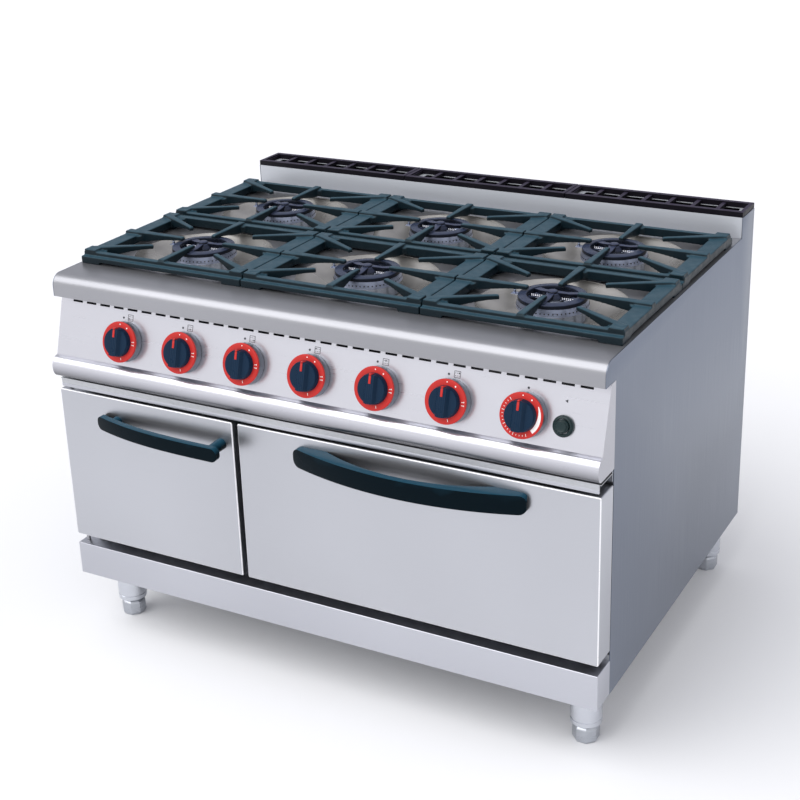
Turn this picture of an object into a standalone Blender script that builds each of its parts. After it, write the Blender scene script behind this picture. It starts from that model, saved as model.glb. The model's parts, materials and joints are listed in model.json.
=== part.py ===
"""Commercial gas range: six open burners over a neutral cabinet and an oven.

Metres, +Z up. The origin is at floor level in the middle of the footprint. +X is the cook's right
and the doors face -Y.
"""

import math

import bmesh
import bpy
from mathutils import Matrix, Vector

# ---------------------------------------------------------------- driving dimensions
WIDTH = 1.200
BODY_DEPTH = 0.870  # door face to the back edge
HANDLE_REACH = 0.055  # how far the handles stand out from the door face
PLINTH_BOTTOM_Z = 0.131
PLINTH_TOP_Z = 0.205
DOOR_BOTTOM_Z = 0.226
DOOR_TOP_Z = 0.566
WORKTOP_Z = 0.810
UPSTAND_Z = 0.855
GRILLE_HEIGHT = 0.011
SHEET = 0.0015
GAP = 0.0003
CUT = 0.01  # how far a cutter runs past the face that it opens

HALF = WIDTH / 2
FRONT_Y = -(BODY_DEPTH - HANDLE_REACH) / 2  # the door face
BACK_Y = FRONT_Y + BODY_DEPTH
DOOR_DEPTH = 0.058
CASE_Y = FRONT_Y + 0.061  # front edge of the side panels, just behind the doors
INNER_X = HALF - SHEET - GAP

DOOR_SPLIT_LEFT_X = -0.170  # right edge of the cabinet door
DOOR_SPLIT_RIGHT_X = -0.157  # left edge of the oven door
PARTITION_X = -0.164
PARTITION_TOP_Z = 0.645
FLOOR_Z = PLINTH_TOP_Z + 0.011  # cabinet floor

NOSE_Y = FRONT_Y + 0.014
NOSE_RADIUS = 0.024
NOSE_BOTTOM_Z = 0.765
NOSE_LIP_Y = FRONT_Y + 0.046
UPSTAND_Y = FRONT_Y + 0.787
UPSTAND_BOTTOM_Z = WORKTOP_Z - 0.030
FLUE_SECTION = WIDTH / 3

RAIL_BOTTOM_Z = 0.5765  # folded lip of the front cross rail
RAIL_TOP_Z = 0.590
BUMPER_BOTTOM_Z = 0.5965
BUMPER_TOP_Z = 0.640
BUMPER_DEPTH = 0.0145
PANEL_BOTTOM = (FRONT_Y + 0.004, 0.642)
PANEL_TOP = (FRONT_Y + 0.040, 0.7645)
PANEL_TILT = math.atan2(PANEL_TOP[0] - PANEL_BOTTOM[0], PANEL_TOP[1] - PANEL_BOTTOM[1])
KNOB_Z = 0.690
KNOB_Y = PANEL_BOTTOM[0] + (KNOB_Z - PANEL_BOTTOM[1]) * math.tan(PANEL_TILT)
PANEL_NORMAL = Vector((0, -math.cos(PANEL_TILT), math.sin(PANEL_TILT)))

KNOB_FIRST_X = -0.4290
KNOB_PITCH = 0.1463
OVEN_KNOB_X = 0.450
BUTTON_X = 0.523
BUTTON_UP = -0.008  # along the slope from the knobs' line
KNOB_XS = [KNOB_FIRST_X + KNOB_PITCH * i for i in range(6)] + [OVEN_KNOB_X]

BURNER_XS = (-0.3967, 0.0, 0.3967)
BURNER_YS = (FRONT_Y + 0.261, FRONT_Y + 0.579)
ROWS = ("front", "back")
COLUMNS = ("left", "middle", "right")

GRATE_SIZE = (0.3950, 0.3165)
GRATE_SIDE_HEIGHT = 0.023
GRATE_STEP_HEIGHT = 0.015
GRATE_FINGER_HEIGHT = 0.028

LEG_X = 0.543
LEG_YS = {"front": FRONT_Y + 0.092, "back": BACK_Y - 0.042}
LEG_RADIUS = 0.031
LEG_BOTTOM_Z = 0.040
FOOT_TOP_Z = 0.036

HINGE_OFFSET_Y = 0.020  # pivots lie this far behind the door face
PIN_RADIUS = 0.0040
PIN_HOLE_RADIUS = 0.0044
BOW_THICKNESS = 0.014  # of both handles
PULL_HALF_LENGTH = 0.160
PULL_CURVE = 0.037  # how much nearer the door the pull's left tip is
CABINET_PIVOT = Vector((-HALF + 0.012, FRONT_Y + HINGE_OFFSET_Y, 0))
OVEN_PIVOT = Vector((0, FRONT_Y + HINGE_OFFSET_Y, DOOR_BOTTOM_Z + 0.012))
OVEN_HINGE_XS = {"left": -0.120, "right": 0.563}

OVEN_INSIDE_X = (-0.105, 0.545)
OVEN_INSIDE_Z = (0.262, 0.545)
OVEN_BACK_Y = FRONT_Y + 0.741

WELL_RADIUS = 0.1455

MANIFOLD_REACH = 0.073  # panel face to the pipe's centre, along the spindles
MANIFOLD_Y = KNOB_Y + MANIFOLD_REACH * math.cos(PANEL_TILT)
MANIFOLD_Z = KNOB_Z - MANIFOLD_REACH * math.sin(PANEL_TILT)
PIPE_RADIUS = 0.0135
INLET_X = 0.560

# ---------------------------------------------------------------- scene and helpers


def clear_scene():
    for old in list(bpy.data.objects):
        bpy.data.objects.remove(old, do_unlink=True)


def new_collection(name):
    made = bpy.data.collections.new(name)
    bpy.context.scene.collection.children.link(made)
    return made


clear_scene()
PARTS = new_collection("gas_range")
CUTTERS = new_collection("gas_range_cutters")


def material(name, colour, roughness, metallic):
    made = bpy.data.materials.new(name)
    made.use_nodes = True
    shader = made.node_tree.nodes["Principled BSDF"]
    shader.inputs["Base Color"].default_value = (*colour, 1)
    shader.inputs["Roughness"].default_value = roughness
    shader.inputs["Metallic"].default_value = metallic
    made.diffuse_color = (*colour, 1)
    return made


BRUSHED_STEEL = material("brushed_steel", (0.66, 0.67, 0.70), 0.32, 1.0)
DARK_STEEL = material("dark_steel", (0.30, 0.31, 0.34), 0.45, 1.0)
GALVANISED = material("galvanised_steel", (0.50, 0.51, 0.52), 0.50, 1.0)
CAST_IRON = material("cast_iron_enamel", (0.030, 0.065, 0.080), 0.55, 0.0)
FLUE_IRON = material("flue_cast_iron", (0.030, 0.026, 0.040), 0.60, 0.0)
BURNER_METAL = material("burner_metal", (0.55, 0.58, 0.64), 0.28, 1.0)
BURNER_IRON = material("burner_cap_iron", (0.06, 0.07, 0.11), 0.45, 0.3)
HANDLE_PLASTIC = material("handle_plastic", (0.010, 0.022, 0.032), 0.22, 0.0)
KNOB_PLASTIC = material("knob_plastic", (0.70, 0.04, 0.035), 0.35, 0.0)
BUTTON_PLASTIC = material("button_plastic", (0.012, 0.03, 0.03), 0.40, 0.0)
SEAL_RUBBER = material("door_seal", (0.10, 0.10, 0.10), 0.80, 0.0)
BRASS = material("brass", (0.70, 0.52, 0.25), 0.35, 1.0)


def box_into(bm, low, high, turn=None):
    """Add a box between two corners. turn is a matrix applied afterwards."""
    low = Vector(low)
    high = Vector(high)
    place = Matrix.Translation((low + high) / 2) @ Matrix.Diagonal((*(high - low), 1))
    if turn is not None:
        place = turn @ place
    bmesh.ops.create_cube(bm, size=1, matrix=place)


def cylinder_into(bm, start, end, radius, segments=16):
    """Add a cylinder whose axis runs from start to end."""
    start = Vector(start)
    end = Vector(end)
    turn = Vector((0, 0, 1)).rotation_difference(end - start).to_matrix().to_4x4()
    bmesh.ops.create_cone(
        bm,
        cap_ends=True,
        segments=segments,
        radius1=radius,
        radius2=radius,
        depth=(end - start).length,
        matrix=Matrix.Translation((start + end) / 2) @ turn,
    )


def mesh_object(name, bm, finish=None, collection=None):
    """Turn a bmesh into an object. A part is shaded smooth with its sharp edges kept."""
    mesh = bpy.data.meshes.new(name)
    bm.to_mesh(mesh)
    bm.free()
    made = bpy.data.objects.new(name, mesh)
    (collection or PARTS).objects.link(made)
    if finish is not None:
        mesh.materials.append(finish)
        mesh.shade_smooth()
        mesh.set_sharp_from_angle(angle=math.radians(35))
    return made


def boxes(name, pairs, finish=None, collection=None):
    bm = bmesh.new()
    for low, high in pairs:
        box_into(bm, low, high)
    return mesh_object(name, bm, finish, collection)


def cylinders(name, runs, finish=None, collection=None, segments=16):
    """runs is a list of (start, end, radius)."""
    bm = bmesh.new()
    for start, end, radius in runs:
        cylinder_into(bm, start, end, radius, segments)
    return mesh_object(name, bm, finish, collection)


def turned(name, profile, finish=None, collection=None, segments=16, ring=False):
    """Turn an outline of (radius, height) points about Z.

    It starts and ends on the axis, or as a ring it is a closed outline clear of the axis.
    """
    mesh = bpy.data.meshes.new(name)
    edges = [(i, i + 1) for i in range(len(profile) - 1)]
    if ring:
        edges.append((len(profile) - 1, 0))
    mesh.from_pydata([(radius, 0, height) for radius, height in profile], edges, [])
    made = bpy.data.objects.new(name, mesh)
    (collection or PARTS).objects.link(made)
    screw = made.modifiers.new("turn", "SCREW")
    screw.axis = "Z"
    screw.angle = math.tau
    screw.steps = segments
    screw.render_steps = segments
    screw.use_merge_vertices = True
    screw.merge_threshold = 0.0001
    screw.use_smooth_shade = True
    if finish is not None:
        mesh.materials.append(finish)
    return made


def extruded(name, outline, half_length, along, finish=None, collection=None):
    """Extrude a closed flat outline both ways along X (outline in Y, Z) or Z (outline in X, Y)."""
    curve = bpy.data.curves.new(name, "CURVE")
    curve.dimensions = "2D"
    curve.fill_mode = "BOTH"
    curve.extrude = half_length
    spline = curve.splines.new("POLY")
    spline.points.add(len(outline) - 1)
    for point, (first, second) in zip(spline.points, outline):
        point.co = (first, second, 0, 1)
    spline.use_cyclic_u = True
    helper = bpy.data.objects.new(name, curve)
    if along == "X":
        helper.matrix_world = Matrix(((0, 0, 1, 0), (1, 0, 0, 0), (0, 1, 0, 0), (0, 0, 0, 1)))
    return mesh_of_curve(helper, finish, collection)


def mesh_of_curve(helper, finish=None, collection=None):
    """Replace a curve by its welded mesh, with its place applied."""
    name = helper.name
    target = collection or PARTS
    target.objects.link(helper)
    bpy.context.view_layer.update()
    graph = bpy.context.evaluated_depsgraph_get()
    mesh = bpy.data.meshes.new_from_object(helper.evaluated_get(graph))
    place = helper.matrix_world.copy()
    data = helper.data
    bpy.data.objects.remove(helper, do_unlink=True)
    bpy.data.curves.remove(data)
    bm = bmesh.new()
    bm.from_mesh(mesh)
    bmesh.ops.remove_doubles(bm, verts=bm.verts, dist=0.00001)
    bmesh.ops.transform(bm, matrix=place, verts=bm.verts)
    bmesh.ops.recalc_face_normals(bm, faces=bm.faces)
    bpy.data.meshes.remove(mesh)
    return mesh_object(name, bm, finish, collection)


def tube(name, points, radius, finish=None, collection=None):
    """A round tube along a list of points, with closed ends."""
    curve = bpy.data.curves.new(name, "CURVE")
    curve.dimensions = "3D"
    curve.bevel_depth = radius
    curve.bevel_resolution = 2
    curve.use_fill_caps = True
    spline = curve.splines.new("POLY")
    spline.points.add(len(points) - 1)
    for point, place in zip(spline.points, points):
        point.co = (*place, 1)
    return mesh_of_curve(bpy.data.objects.new(name, curve), finish, collection)


def combine(target, tool, operation):
    """Boolean: DIFFERENCE cuts the tool away, UNION welds it on."""
    if tool.name not in CUTTERS.objects:
        for owner in list(tool.users_collection):
            owner.objects.unlink(tool)
        CUTTERS.objects.link(tool)
    tool.hide_render = True
    tool.display_type = "WIRE"
    step = target.modifiers.new(f"{operation.lower()}_{tool.name}", "BOOLEAN")
    step.operation = operation
    step.solver = "EXACT"
    step.object = tool


def cut(target, tool):
    combine(target, tool, "DIFFERENCE")


def weld(target, tool):
    combine(target, tool, "UNION")


def copies(master, names, places, finish):
    """Replace a master by objects that share its finished mesh, one at each place matrix."""
    bpy.context.view_layer.update()
    graph = bpy.context.evaluated_depsgraph_get()
    mesh = bpy.data.meshes.new_from_object(master.evaluated_get(graph))
    mesh.name = master.name
    mesh.materials.clear()
    mesh.materials.append(finish)
    mesh.shade_smooth()
    mesh.set_sharp_from_angle(angle=math.radians(35))
    bpy.data.objects.remove(master, do_unlink=True)
    for name, place in zip(names, places):
        copy = bpy.data.objects.new(name, mesh)
        copy.matrix_world = place
        PARTS.objects.link(copy)


def scattered(name, master, places):
    """One tool made of copies of a master's finished mesh. The master is removed."""
    bpy.context.view_layer.update()
    graph = bpy.context.evaluated_depsgraph_get()
    mesh = bpy.data.meshes.new_from_object(master.evaluated_get(graph))
    bpy.data.objects.remove(master, do_unlink=True)
    bm = bmesh.new()
    for place in places:
        before = len(bm.verts)
        bm.from_mesh(mesh)
        bm.verts.ensure_lookup_table()
        bmesh.ops.transform(bm, matrix=Matrix.Translation(place), verts=bm.verts[before:])
    bpy.data.meshes.remove(mesh)
    return mesh_object(name, bm)


def pivot(name, place, children):
    """An empty on a joint's axis that carries the pieces which move together."""
    empty = bpy.data.objects.new(name, None)
    empty.empty_display_size = 0.05
    empty.location = place
    PARTS.objects.link(empty)
    for child in children:
        child.parent = empty
        child.matrix_parent_inverse = Matrix.Translation(-Vector(place))


def arc(centre, radius, start, end, steps):
    """Points on a circle, with angles in degrees and both ends included."""
    angles = [math.radians(start + (end - start) * i / steps) for i in range(steps + 1)]
    return [(centre[0] + radius * math.cos(a), centre[1] + radius * math.sin(a)) for a in angles]


def on_panel(x, out, up=0.0):
    """A point on the control panel at x, out from its face and up its slope from the knobs' line."""
    slope = Vector((0, math.sin(PANEL_TILT), math.cos(PANEL_TILT)))
    return Vector((x, KNOB_Y, KNOB_Z)) + PANEL_NORMAL * out + slope * up


# ---------------------------------------------------------------- legs and base


def legs_and_feet():
    """Four round legs, each with an octagonal foot that screws up and down inside it."""
    stud = 0.008
    stud_top = 0.105
    thread_clearance = 0.0014
    bore_depth = 0.074
    tube_length = PLINTH_BOTTOM_Z - GAP - LEG_BOTTOM_Z
    leg = turned(
        "leg",
        [
            (0, tube_length),
            (LEG_RADIUS, tube_length),
            (LEG_RADIUS, 0.002),
            (LEG_RADIUS - 0.002, 0),
            (0, 0),
        ],
    )
    run = ((0, 0, -CUT), (0, 0, bore_depth), stud + thread_clearance)
    bore = cylinders("leg_bore", [run], segments=8)
    cut(leg, bore)
    foot = turned(
        "foot",
        [
            (0, stud_top),
            (stud, stud_top),
            (stud, FOOT_TOP_Z),
            (0.022, FOOT_TOP_Z),
            (0.027, FOOT_TOP_Z - 0.006),
            (0.027, 0.006),
            (0.024, 0.0),
            (0, 0.0),
        ],
        segments=8,
    )
    spots = [(side * LEG_X, LEG_YS[end]) for end in ("front", "back") for side in (-1, 1)]
    labels = [f"{end}_{side}" for end in ("front", "back") for side in ("left", "right")]
    copies(
        leg,
        [f"leg_{label}" for label in labels],
        [Matrix.Translation((x, y, LEG_BOTTOM_Z)) for x, y in spots],
        BRUSHED_STEEL,
    )
    turn = Matrix.Rotation(math.radians(22.5), 4, "Z")
    copies(
        foot,
        [f"foot_{label}" for label in labels],
        [Matrix.Translation((x, y, 0)) @ turn for x, y in spots],
        DARK_STEEL,
    )


def plinth():
    """The folded kick strip across the front, open behind."""
    back = CASE_Y - GAP
    made = boxes(
        "plinth", [((-HALF, FRONT_Y, PLINTH_BOTTOM_Z), (HALF, back, PLINTH_TOP_Z))], BRUSHED_STEEL
    )
    inside = boxes(
        "plinth_inside",
        [
            (
                (-HALF + SHEET, FRONT_Y + SHEET, PLINTH_BOTTOM_Z + SHEET),
                (HALF - SHEET, back + 0.01, PLINTH_TOP_Z - SHEET),
            )
        ],
    )
    cut(made, inside)


def chassis():
    """The welded inner frame: skirted cabinet floor with leg flanges, partition and front cross rail."""
    front = CASE_Y
    back = BACK_Y - 0.009
    flange = 0.095  # width of the two flanges that the legs bolt to
    base = boxes(
        "chassis", [((-INNER_X, front, PLINTH_BOTTOM_Z), (INNER_X, back, FLOOR_Z))], GALVANISED
    )
    hollow = boxes(
        "base_hollow",
        [
            (
                (-INNER_X + SHEET, front + SHEET, PLINTH_BOTTOM_Z + SHEET),
                (INNER_X - SHEET, back - SHEET, FLOOR_Z - SHEET),
            )
        ],
    )
    mouth = boxes(
        "base_mouth",
        [
            (
                (-INNER_X + flange, front + SHEET, PLINTH_BOTTOM_Z - CUT),
                (INNER_X - flange, back - SHEET, PLINTH_BOTTOM_Z + CUT),
            )
        ],
    )
    cut(base, hollow)
    cut(base, mouth)
    partition = boxes(
        "partition",
        [
            (
                (PARTITION_X - SHEET / 2, front + 0.0004, FLOOR_Z - SHEET / 2),
                (PARTITION_X + SHEET / 2, back - 0.02, PARTITION_TOP_Z),
            )
        ],
    )
    weld(base, partition)

    lip_y = FRONT_Y + 0.003
    lip_half = HALF - 0.005
    web_top = RAIL_TOP_Z - 0.001
    web_back = front + 0.020
    rail = boxes(
        "cross_rail",
        [((-lip_half, lip_y, RAIL_BOTTOM_Z), (lip_half, lip_y + 2 * SHEET, RAIL_TOP_Z))],
    )
    web = boxes(
        "cross_rail_web",
        [((-INNER_X, lip_y + SHEET, web_top - SHEET), (INNER_X, web_back, web_top))],
    )
    weld(rail, web)
    weld(base, rail)


# ---------------------------------------------------------------- outer casing


def nose_outline(radius, front, bottom, top, steps=6):
    """The rounded front edge, from the top of its curve down to its lower corner, in (Y, Z)."""
    centre = (front + radius, top - radius)
    return arc(centre, radius, 90, 180, steps) + [(front, bottom)]


def side_panels():
    """Two flat sheets with a folded front and back edge. Each includes the nose and upstand ends."""
    outline = nose_outline(NOSE_RADIUS, NOSE_Y, NOSE_BOTTOM_Z, WORKTOP_Z) + [
        (CASE_Y, NOSE_BOTTOM_Z),
        (CASE_Y, PLINTH_BOTTOM_Z),
        (BACK_Y, PLINTH_BOTTOM_Z),
        (BACK_Y, UPSTAND_Z),
        (UPSTAND_Y, UPSTAND_Z),
        (UPSTAND_Y, WORKTOP_Z),
    ]
    fold = 0.022  # width of the folded edges
    front_fold_y = CASE_Y + 0.0237
    front_fold_bottom = FLOOR_Z + 0.005
    back_fold_y = BACK_Y - SHEET - GAP
    for side, sign in (("left", -1), ("right", 1)):
        panel = extruded(f"side_panel_{side}", outline, SHEET / 2, "X", BRUSHED_STEEL)
        panel.location.x = sign * (HALF - SHEET / 2)
        inner = sign * (HALF - fold)
        outer = sign * (HALF - SHEET / 2)
        low_x, high_x = min(inner, outer), max(inner, outer)
        folds = boxes(
            f"side_folds_{side}",
            [
                (
                    (low_x, front_fold_y, front_fold_bottom),
                    (high_x, front_fold_y + SHEET, RAIL_BOTTOM_Z - 0.02),
                ),
                (
                    (low_x, back_fold_y, PLINTH_BOTTOM_Z + 0.002),
                    (high_x, BACK_Y - GAP, WORKTOP_Z - 0.06),
                ),
            ],
        )
        weld(panel, folds)


def back_panel():
    """The removable back sheet, with three rows of vents and the hole for the gas inlet."""
    y = BACK_Y - 0.0065
    top = WORKTOP_Z - 0.032
    rows = 3
    columns = 7
    column_pitch = 0.14
    row_pitch = 0.022
    half_slot = 0.050
    slot_height = 0.007
    made = boxes(
        "back_panel",
        [((-INNER_X, y, PLINTH_BOTTOM_Z + 0.004), (INNER_X, y + SHEET, top))],
        GALVANISED,
    )
    vents = []
    for row in range(rows):
        for column in range(columns):
            x = (column - (columns - 1) / 2) * column_pitch
            z = top - 0.050 - row_pitch * row
            vents.append(((x - half_slot, y - CUT, z), (x + half_slot, y + CUT, z + slot_height)))
    cut(made, boxes("back_vents", vents))
    inlet = cylinders(
        "inlet_hole",
        [((INLET_X, y - 0.02, MANIFOLD_Z), (INLET_X, y + 0.02, MANIFOLD_Z), PIPE_RADIUS + 0.0035)],
    )
    cut(made, inlet)


def hob_top():
    """The pressed worktop: rounded nose and six dished wells, each with a burner hole."""
    back = UPSTAND_Y - GAP
    thick = 0.002
    outer = [(back, WORKTOP_Z)] + nose_outline(NOSE_RADIUS, NOSE_Y, NOSE_BOTTOM_Z, WORKTOP_Z)
    outer.append((NOSE_LIP_Y, NOSE_BOTTOM_Z))
    inner = [(back, WORKTOP_Z - thick)] + nose_outline(
        NOSE_RADIUS - thick, NOSE_Y + thick, NOSE_BOTTOM_Z + thick, WORKTOP_Z - thick
    )
    inner.append((NOSE_LIP_Y, NOSE_BOTTOM_Z + thick))
    top = extruded("hob_top", outer + inner[::-1], INNER_X, "X", BRUSHED_STEEL)
    spots = [(x, y, WORKTOP_Z) for y in BURNER_YS for x in BURNER_XS]
    openings = [((x, y, z - 0.01), (x, y, z + 0.01), WELL_RADIUS) for x, y, z in spots]
    cut(top, cylinders("well_openings", openings, segments=16))
    face = [(0.050, -0.0300), (0.078, -0.0285), (0.112, -0.0195), (0.140, -0.0040)]
    rim = [(WELL_RADIUS - 0.001, -0.0006), (WELL_RADIUS + 0.002, -0.0006)]
    rim.append((WELL_RADIUS + 0.002, -0.0016))
    under = [(radius, depth - thick) for radius, depth in reversed(face)]
    dish = turned("well_dish", face + rim + under, ring=True)
    dish.rotation_euler.z = math.pi / 2
    weld(top, scattered("well_dishes", dish, spots))


def upstand():
    """The low rear flue box: open below, with three flue mouths in its top."""
    mouth_half = 0.175
    rim = 0.015
    made = boxes(
        "upstand",
        [((-INNER_X, UPSTAND_Y, UPSTAND_BOTTOM_Z), (INNER_X, BACK_Y, UPSTAND_Z))],
        BRUSHED_STEEL,
    )
    inside = boxes(
        "upstand_inside",
        [
            (
                (-INNER_X + SHEET, UPSTAND_Y + SHEET, UPSTAND_BOTTOM_Z - CUT),
                (INNER_X - SHEET, BACK_Y - SHEET, UPSTAND_Z - SHEET),
            )
        ],
    )
    cut(made, inside)
    mouths = []
    for i in (-1, 0, 1):
        x = i * FLUE_SECTION
        mouths.append(
            (
                (x - mouth_half, UPSTAND_Y + rim, UPSTAND_Z - CUT / 2),
                (x + mouth_half, BACK_Y - rim, UPSTAND_Z + CUT / 2),
            )
        )
    cut(made, boxes("flue_mouths", mouths))


def flue_grilles():
    """Three cast grilles in a row over the flue, each with seven openings."""
    length = FLUE_SECTION - 0.002
    half_depth = (BACK_Y - UPSTAND_Y) / 2
    frame = 0.012
    half_rib = 0.0045
    rib_drop = 0.003
    openings = 7
    pitch = (length - frame) / openings
    grille = boxes(
        "flue_grille",
        [((-length / 2, -half_depth, 0), (length / 2, half_depth, GRILLE_HEIGHT))],
    )
    holes = []
    for i in range(openings):
        x = (i - (openings - 1) / 2) * pitch
        holes.append(
            (
                (x - pitch / 2 + half_rib, -half_depth + frame, -CUT),
                (x + pitch / 2 - half_rib, half_depth - frame, GRILLE_HEIGHT + CUT),
            )
        )
    cut(grille, boxes("grille_holes", holes))
    lowered = boxes(
        "grille_ribs",
        [
            (
                (-length / 2 + 0.008, -half_depth + frame + 0.0001, GRILLE_HEIGHT - rib_drop),
                (length / 2 - 0.008, half_depth - frame - 0.0001, GRILLE_HEIGHT + CUT),
            )
        ],
    )
    cut(grille, lowered)
    centre_y = (UPSTAND_Y + BACK_Y) / 2
    copies(
        grille,
        ["flue_grille_left", "flue_grille_middle", "flue_grille_right"],
        [Matrix.Translation((i * FLUE_SECTION, centre_y, UPSTAND_Z + GAP)) for i in (-1, 0, 1)],
        FLUE_IRON,
    )


# ---------------------------------------------------------------- controls


def bumper_curve(inset):
    """The front of the bumper's half-oval section, from its top to its bottom, in (Y, Z)."""
    centre_z = (BUMPER_BOTTOM_Z + BUMPER_TOP_Z) / 2
    depth = BUMPER_DEPTH - inset
    stretch = ((BUMPER_TOP_Z - BUMPER_BOTTOM_Z) / 2 - inset) / depth
    half_round = arc((FRONT_Y - 0.0005, 0), depth, 90, 270, 8)
    return [(y, centre_z + z * stretch) for y, z in half_round]


def control_panel():
    """The sloping panel, folded below into a half-oval bumper, with closed ends and an open back."""
    back = CASE_Y - GAP
    outer = [(back, PANEL_TOP[1]), PANEL_TOP, PANEL_BOTTOM]
    outer += bumper_curve(0)
    outer.append((back, BUMPER_BOTTOM_Z))
    panel = extruded("control_panel", outer, HALF, "X", BRUSHED_STEEL)
    slant = SHEET / math.cos(PANEL_TILT)
    inner = [
        (back + 0.01, PANEL_TOP[1] - SHEET),
        (PANEL_TOP[0] + slant, PANEL_TOP[1] - SHEET),
        (PANEL_BOTTOM[0] + slant, PANEL_BOTTOM[1] - 0.0005),
    ]
    inner += bumper_curve(SHEET)
    inner.append((back + 0.01, BUMPER_BOTTOM_Z + SHEET))
    cut(panel, extruded("panel_inside", inner, HALF - SHEET, "X"))

    spindle_hole = 0.0065
    button_bore = 0.0105
    holes = [(on_panel(x, -0.02), on_panel(x, 0.02), spindle_hole) for x in KNOB_XS]
    cut(panel, cylinders("spindle_holes", holes, segments=12))
    button_ends = [on_panel(BUTTON_X, out, BUTTON_UP) for out in (-0.02, 0.02)]
    button_hole = [(*button_ends, button_bore)]
    cut(panel, cylinders("button_hole", button_hole, segments=12))

    slot_bm = bmesh.new()
    slots = 32
    pitch = 0.036
    half_slot = Vector((0.013, 0.012, 0.0018))
    slot_line = 0.0652  # up the slope from the knobs' line
    turn = Matrix.Rotation(-PANEL_TILT, 4, "X")
    for i in range(slots):
        x = (i - (slots - 1) / 2) * pitch
        centre = Matrix.Translation(on_panel(x, 0, slot_line))
        box_into(slot_bm, -half_slot, half_slot, centre @ turn)
    cut(panel, mesh_object("vent_slots", slot_bm))


def knobs():
    """Seven control knobs, turning about their spindles. Each is a ring with a raised grip."""
    grip_half = 0.0105
    grip_bottom = 0.028
    knob = turned(
        "knob",
        [
            (0, 0.041),
            (0.0275, 0.040),
            (0.0300, 0.0215),
            (0.0400, 0.0215),
            (0.0415, 0.0190),
            (0.0415, 0.0008),
            (0, 0.0008),
        ],
        segments=18,
    )
    flats = boxes(
        "grip_flats",
        [
            ((grip_half, -0.05, grip_bottom), (0.05, 0.05, 0.06)),
            ((-0.05, -0.05, grip_bottom), (-grip_half, 0.05, 0.06)),
        ],
    )
    cut(knob, flats)
    cut(knob, cylinders("spindle_bore", [((0, 0, -0.01), (0, 0, 0.020), 0.0055)], segments=8))
    turn = Matrix.Rotation(math.pi / 2 - PANEL_TILT, 4, "X")
    places = [Matrix.Translation(on_panel(x, 0)) @ turn for x in KNOB_XS]
    names = [f"knob_burner_{i + 1}" for i in range(6)] + ["knob_oven"]
    copies(knob, names, places, KNOB_PLASTIC)


def ignition():
    """The push-button igniter: a fixed bezel ring and the plunger that travels in it."""
    turn = Matrix.Rotation(math.pi / 2 - PANEL_TILT, 4, "X")
    place = Matrix.Translation(on_panel(BUTTON_X, 0, BUTTON_UP)) @ turn
    bezel = turned(
        "ignition_bezel",
        [(0.0135, 0.008), (0.0165, 0.008), (0.0195, 0.005), (0.0195, GAP), (0.0135, GAP)],
        BUTTON_PLASTIC,
        ring=True,
    )
    bezel.matrix_world = place
    button = turned(
        "ignition_button",
        [
            (0, 0.0155),
            (0.0105, 0.0155),
            (0.0125, 0.0125),
            (0.0125, 0.0065),
            (0.0098, 0.0065),
            (0.0098, -0.018),
            (0, -0.018),
        ],
        BUTTON_PLASTIC,
        segments=12,
    )
    button.matrix_world = place


def gas_manifold():
    """The gas pipe behind the panel, with a valve and spindle for each knob and the rear inlet."""
    bend = 0.045
    valve_radius = 0.0105
    spindle_radius = 0.0050
    socket_radius = 0.0085
    socket_depth = 0.020
    corner = (INLET_X - bend, MANIFOLD_Y + bend)
    turn_points = [(x, y, MANIFOLD_Z) for x, y in arc(corner, bend, -90, 0, 6)]
    path = [(-0.475, MANIFOLD_Y, MANIFOLD_Z), *turn_points, (INLET_X, BACK_Y, MANIFOLD_Z)]
    pipe = tube("gas_manifold", path, PIPE_RADIUS, BRASS)
    valves = cylinders(
        "valve_bodies",
        [(on_panel(x, -0.022), on_panel(x, -MANIFOLD_REACH + 0.003), valve_radius) for x in KNOB_XS],
        segments=12,
    )
    spindles = cylinders(
        "valve_spindles",
        [(on_panel(x, 0.0185), on_panel(x, -0.030), spindle_radius) for x in KNOB_XS],
        segments=12,
    )
    weld(valves, spindles)
    weld(pipe, valves)
    mouth = Vector((INLET_X, BACK_Y, MANIFOLD_Z))
    run = (mouth - Vector((0, socket_depth, 0)), mouth + Vector((0, CUT, 0)), socket_radius)
    socket = cylinders("inlet_socket", [run], segments=12)
    cut(pipe, socket)


# ---------------------------------------------------------------- hob


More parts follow.
